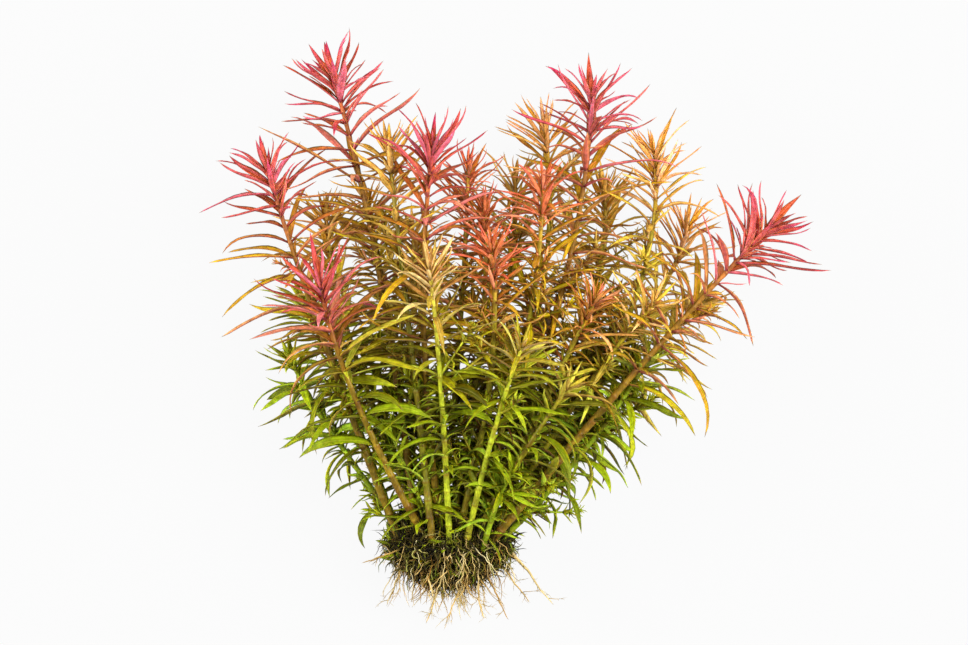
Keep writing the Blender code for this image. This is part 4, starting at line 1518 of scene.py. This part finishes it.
# %% Where the roots are and how they branch
ROOTS = (
    ((-33.0, -72.0, 12), (-37.8, -84.2, 10), 0.8),
    ((-33.9, -66.8, 22), (-33.6, -79.7, 24), 0.6),
    ((-28.5, -72.2, 8), (-30.3, -83.3, 5), 0.7),
    ((-21.3, -77.0, 18), (-25.8, -89.3, 15), 1.0),
    ((-25.2, -74.3, 27), (-23.1, -82.4, 30), 0.7),
    ((-14.7, -76.0, 22), (-19.8, -89.0, 25), 0.8),
    ((-17.0, -77.0, 10), (-14.7, -84.4, 6), 0.6),
    ((-7.5, -73.0, 20), (-0.6, -88.0, 17), 0.8),
    ((-3.6, -70.2, 11), (6.0, -83.3, 8), 0.8),
    ((0.0, -67.0, 20), (13.2, -83.6, 18), 1.2),
    ((-9.9, -76.0, 27), (-8.4, -86.9, 30), 0.6),
    ((-33.0, -66.0, 28), (-45.0, -70.1, 30), 0.6),
)
ROOT_LOWEST = 0.5
SIDE_ROOT_LENGTHS = (1.5, 6.5)
SIDE_ROOT_TINTS = (0.3, 0.9)
FINER_LENGTH = 0.5
FINER_WIDTH = 0.6


def root_line(start, end, steps, slack, rng):
    """A wandering line with both ends fixed."""
    points = []
    drift = Vector()
    for i in range(steps + 1):
        part = i / steps
        drift = drift * 0.8 + any_direction(rng) * slack
        point = start.lerp(end, part) + drift * (part * (1 - part)) ** 0.5
        point.z = max(point.z, ROOT_LOWEST)
        points.append(point)
    return points


def add_side_roots(growth, line, width, count, rng, depth=2):
    """Side roots of a root, and finer ones on them."""
    for _ in range(count):
        i = rng.randrange(2, len(line) - 2)
        heading = (line[i + 1] - line[i]).normalized()
        heading = (heading + any_direction(rng) * 0.9).normalized()
        length = rng.uniform(*SIDE_ROOT_LENGTHS) * (1.0 if depth == 2 else FINER_LENGTH)
        side_line = wander(line[i], heading, length, steps=6, bend=0.3, pull=DOWN * 0.05, rng=rng)
        values = {"tint": rng.uniform(*SIDE_ROOT_TINTS)}
        add_thread(growth, side_line, width, tip_width=0.05, sides=3, values=values)
        if depth > 1:
            add_side_roots(growth, side_line, width * FINER_WIDTH, 2, rng, depth - 1)


print("thick roots:", len(ROOTS))

# %% [markdown]
# Thinner roots start all over the plug. Some hang from its foot, pale ones run down its face, and
# a fringe of short dark fibres softens its lower edge. They all wander downwards, and they differ
# in where they start, how far they run and how pale they are.

# %% Grow the roots
ROOT_SEED = 23
THICK_TINTS = (0.35, 0.8)
THICK_SIDE_ROOTS = 7
THICK_SIDE_WIDTH = 0.28
START_DEPTH = 0.85
ROOT_TIP = 0.1
HANGING_ROOTS = 90
HANGING_LENGTHS = (5.0, 15.0)
HANGING_WIDTHS = (0.25, 0.65)
HANGING_TINTS = (0.15, 0.85)
HANGING_BRANCHED = 0.5
HANGING_SIDE_ROOTS = 3
HANGING_SIDE_WIDTH = 0.14
FACE_ROOTS = 44
FACE_LENGTHS = (6.0, 16.0)
FACE_WIDTHS = (0.25, 0.55)
FACE_TINTS = (0.5, 1.0)
FACE_SIDE_ROOTS = 3
FACE_SIDE_WIDTH = 0.25
FACE_LEAN = Vector((0.3, 0.0, 0.8))
FOOT_FIBRES = 380
FIBRE_LENGTHS = (3.0, 8.0)
FIBRE_WIDTHS = (0.15, 0.45)
FIBRE_TINTS = (0.0, 0.5)


def add_thick_roots(growth, rng):
    for start, end, width in ROOTS:
        line = root_line(Vector(start), Vector(end), steps=14, slack=0.5, rng=rng)
        values = {"tint": rng.uniform(*THICK_TINTS)}
        add_thread(growth, line, width, tip_width=0.25, sides=6, values=values)
        add_side_roots(growth, line, THICK_SIDE_WIDTH, THICK_SIDE_ROOTS, rng)


def add_hanging_roots(growth, rng):
    """Thinner roots that hang from the foot of the plug, half of them with side roots."""
    for _ in range(HANGING_ROOTS):
        direction = (any_direction(rng) + DOWN * 0.7).normalized()
        start = ball_point(direction, START_DEPTH, CORE_FOOT)
        heading = (direction + DOWN).normalized()
        length = rng.uniform(*HANGING_LENGTHS)
        line = wander(start, heading, length, steps=10, bend=0.36, pull=DOWN * 0.08, rng=rng)
        width, tint = rng.uniform(*HANGING_WIDTHS), rng.uniform(*HANGING_TINTS)
        add_thread(growth, line, width, ROOT_TIP, sides=4, values={"tint": tint})
        if rng.random() < HANGING_BRANCHED:
            add_side_roots(growth, line, HANGING_SIDE_WIDTH, HANGING_SIDE_ROOTS, rng, depth=1)


def add_face_roots(growth, rng):
    """Thin pale roots that squirm down the seen side of the plug."""
    for _ in range(FACE_ROOTS):
        direction = (any_direction(rng) + FACE_LEAN).normalized()
        start = ball_point(direction, 1.0, CORE_FOOT)
        heading = (DOWN + direction * 0.4).normalized()
        length = rng.uniform(*FACE_LENGTHS)
        line = wander(start, heading, length, steps=14, bend=0.55, pull=DOWN * 0.12, rng=rng)
        width, tint = rng.uniform(*FACE_WIDTHS), rng.uniform(*FACE_TINTS)
        add_thread(growth, line, width, ROOT_TIP, sides=5, values={"tint": tint})
        add_side_roots(growth, line, FACE_SIDE_WIDTH, FACE_SIDE_ROOTS, rng, depth=1)


def add_foot_fibres(growth, rng):
    """Short dark fibres round the lower edge of the plug."""
    for _ in range(FOOT_FIBRES):
        direction = (any_direction(rng) + DOWN * 0.9).normalized()
        start = ball_point(direction, START_DEPTH, CORE_FOOT)
        heading = (direction + DOWN * 0.5).normalized()
        length = rng.uniform(*FIBRE_LENGTHS)
        line = wander(start, heading, length, steps=6, bend=0.5, pull=DOWN * 0.08, rng=rng)
        width, tint = rng.uniform(*FIBRE_WIDTHS), rng.uniform(*FIBRE_TINTS)
        add_thread(growth, line, width, tip_width=0.08, sides=3, values={"tint": tint})


def grow_roots():
    rng = random.Random(ROOT_SEED)
    growth = Growth()
    add_thick_roots(growth, rng)
    add_hanging_roots(growth, rng)
    add_face_roots(growth, rng)
    add_foot_fibres(growth, rng)
    piece = growth.make_object("loose_roots", [root_skin])
    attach(piece, "root")
    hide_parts("root_ball")
    return len(growth.faces)


print("faces of the roots:", grow_roots())

# %% [markdown]
# Short green sprouts fill the foot of the bunch and hang over the plug's shoulders. They are
# small shoots, so they are grown with the same helpers on short lines of their own.

# %% Grow the low sprouts
SPROUT_SEED = 53
SPROUTS = 16
SPROUT_SPACING = 1.7
SPROUT_ASIDE = 0.5
SPROUT_FAN = 0.15
SPROUT_RISES = (-0.3, 0.35)
SPROUT_LOWEST = 4.0
SPROUT_ROWS = (0.5, 5.2)
SPROUT_COLUMNS = (-2.2, 2.6)
SPROUT_REACH = (14.0, 38.0)
SPROUT_LEAVES = (11.0, 17.0)
SHOULDER_SPACING = 2.6
SHOULDER_SPROUTS = (
    ((-35.5, -57.5, 24), (-41.5, -54.5, 27)),
    ((-35.0, -56.0, 14), (-43.0, -49.0, 17)),
    ((-1.5, -57.0, 28), (6.5, -53.5, 31)),
    ((0.0, -56.0, 15), (8.5, -48.0, 14)),
)


def sprout_lines(rng):
    """Foot, tip and spacing of each sprout, at the shoulders and between the stems."""
    lines = [(Vector(foot), Vector(tip), SHOULDER_SPACING) for foot, tip in SHOULDER_SPROUTS]
    for _ in range(SPROUTS):
        column = rng.uniform(*SPROUT_COLUMNS)
        foot = slot_point((rng.uniform(*SPROUT_ROWS), column))
        reach = rng.uniform(*SPROUT_REACH)
        aside = rng.uniform(-SPROUT_ASIDE, SPROUT_ASIDE) + column * SPROUT_FAN
        tip = foot + Vector((aside * reach, reach, rng.uniform(*SPROUT_RISES) * reach))
        tip.z = max(tip.z, SPROUT_LOWEST)
        lines.append((foot, tip, SPROUT_SPACING))
    return lines


def sprout_shade(tint):
    """Shade of sprouts: the same tint always gives the same age and lowness."""
    return {"age": 0.3 + 0.6 * tint, "low": 0.6 + 0.3 * tint, "tint": tint}


def grow_sprouts():
    rng = random.Random(SPROUT_SEED)
    growth = Growth()
    for foot, tip, spacing in sprout_lines(rng):
        leaf_length = rng.uniform(*SPROUT_LEAVES)
        add_twig(growth, "green", foot, tip, leaf_length, sprout_shade, rng, spacing)
    piece = growth.make_object("low_sprouts", [leaf_materials["green"], stem_materials["green"]])
    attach(piece, "root")
    return len(growth.faces)


print("faces of the sprouts:", grow_sprouts())

# %% [markdown]
# The photo was taken from the front, and the bunch lies on its back here, so the camera looks
# straight down. A long lens far away keeps the shoots that stand up towards it from looking
# swollen. A large soft light stands on the right, near the camera, so that it reaches deep
# between the stems. Two more stand low at both sides for the outer leaves, and an even sky fills
# the shadows. The paper below looks as white to the camera as a light table does, but it throws
# less light on the leaves.

# %% Floor, lights and camera
VIEW_CENTRE = Vector((-8.1, 2.4, 38.0)) * MM
VIEW_WIDTH = 290.4 * MM
CAMERA_HEIGHT = 1.6
SENSOR = 36.0
FLOOR_HALF = 2.5
FLOOR_WHITE = 0.928
FLOOR_GLOW = 0.56
FLOOR_GREY = 0.012
FLOOR_FINISH = {
    "Base Color": (FLOOR_GREY, FLOOR_GREY, FLOOR_GREY, 1),
    "Roughness": 0.9,
    "Specular IOR Level": 0.0,
    "Emission Color": (1, 1, 1, 1),
}
SKY = 0.6
# Name, place in metres, size in metres and power in watts of each soft light.
LIGHTS = (
    ("soft light right", (0.5, 0.4, 1.5), 0.7, 43),
    ("low light left", (-1.3, 0.1, 0.7), 0.8, 46),
    ("low light right", (1.3, -0.1, 0.7), 0.8, 41),
)


def add_floor():
    mesh = bpy.data.meshes.new("floor")
    half = FLOOR_HALF
    corners = [(-half, -half, 0), (half, -half, 0), (half, half, 0), (-half, half, 0)]
    mesh.from_pydata(corners, [], [(0, 1, 2, 3)])
    floor = bpy.data.objects.new("floor", mesh)
    bpy.context.scene.collection.objects.link(floor)
    material, tree, shader = new_material("pale paper", FLOOR_FINISH)
    seen = place(tree, "ShaderNodeLightPath").outputs["Is Camera Ray"]
    ends = {"Value": seen, "To Min": FLOOR_GLOW, "To Max": FLOOR_WHITE}
    glow = place(tree, "ShaderNodeMapRange", ends)
    tree.links.new(glow.outputs["Result"], shader.inputs["Emission Strength"])
    mesh.materials.append(material)
    floor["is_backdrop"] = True


def add_light(name, stand, size, power):
    light = bpy.data.lights.new(name, "AREA")
    light.size = size
    light.energy = power
    obj = bpy.data.objects.new(name, light)
    obj.location = stand
    obj.rotation_euler = (VIEW_CENTRE - Vector(stand)).to_track_quat("-Z", "Y").to_euler()
    bpy.context.scene.collection.objects.link(obj)


def add_camera():
    camera = bpy.data.cameras.new("camera")
    camera.sensor_width = SENSOR
    camera.lens = SENSOR * CAMERA_HEIGHT / VIEW_WIDTH
    obj = bpy.data.objects.new("camera", camera)
    obj.location = VIEW_CENTRE + Vector((0, 0, CAMERA_HEIGHT))
    bpy.context.scene.collection.objects.link(obj)
    bpy.context.scene.camera = obj


def add_sky():
    world = bpy.data.worlds.new("even sky")
    bpy.context.scene.world = world
    world.use_nodes = True
    background = world.node_tree.nodes["Background"]
    background.inputs["Color"].default_value = (1, 1, 1, 1)
    background.inputs["Strength"].default_value = SKY


add_floor()
for light in LIGHTS:
    add_light(*light)
add_sky()
add_camera()
bpy.context.scene.view_settings.view_transform = "Standard"
bpy.context.scene.view_settings.look = "None"
print("lens:", round(bpy.context.scene.camera.data.lens), "mm, soft lights:", len(LIGHTS))

# %% [markdown]
# Last, the size of the dressed bunch is written next to the size of its solids, to compare them.

# %% Write the sizes and finish
boxes = {"cad": cad_box, "visual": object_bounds()}
for name, (low, high) in boxes.items():
    print(name, "size in mm:", [round(side / MM, 1) for side in high - low])
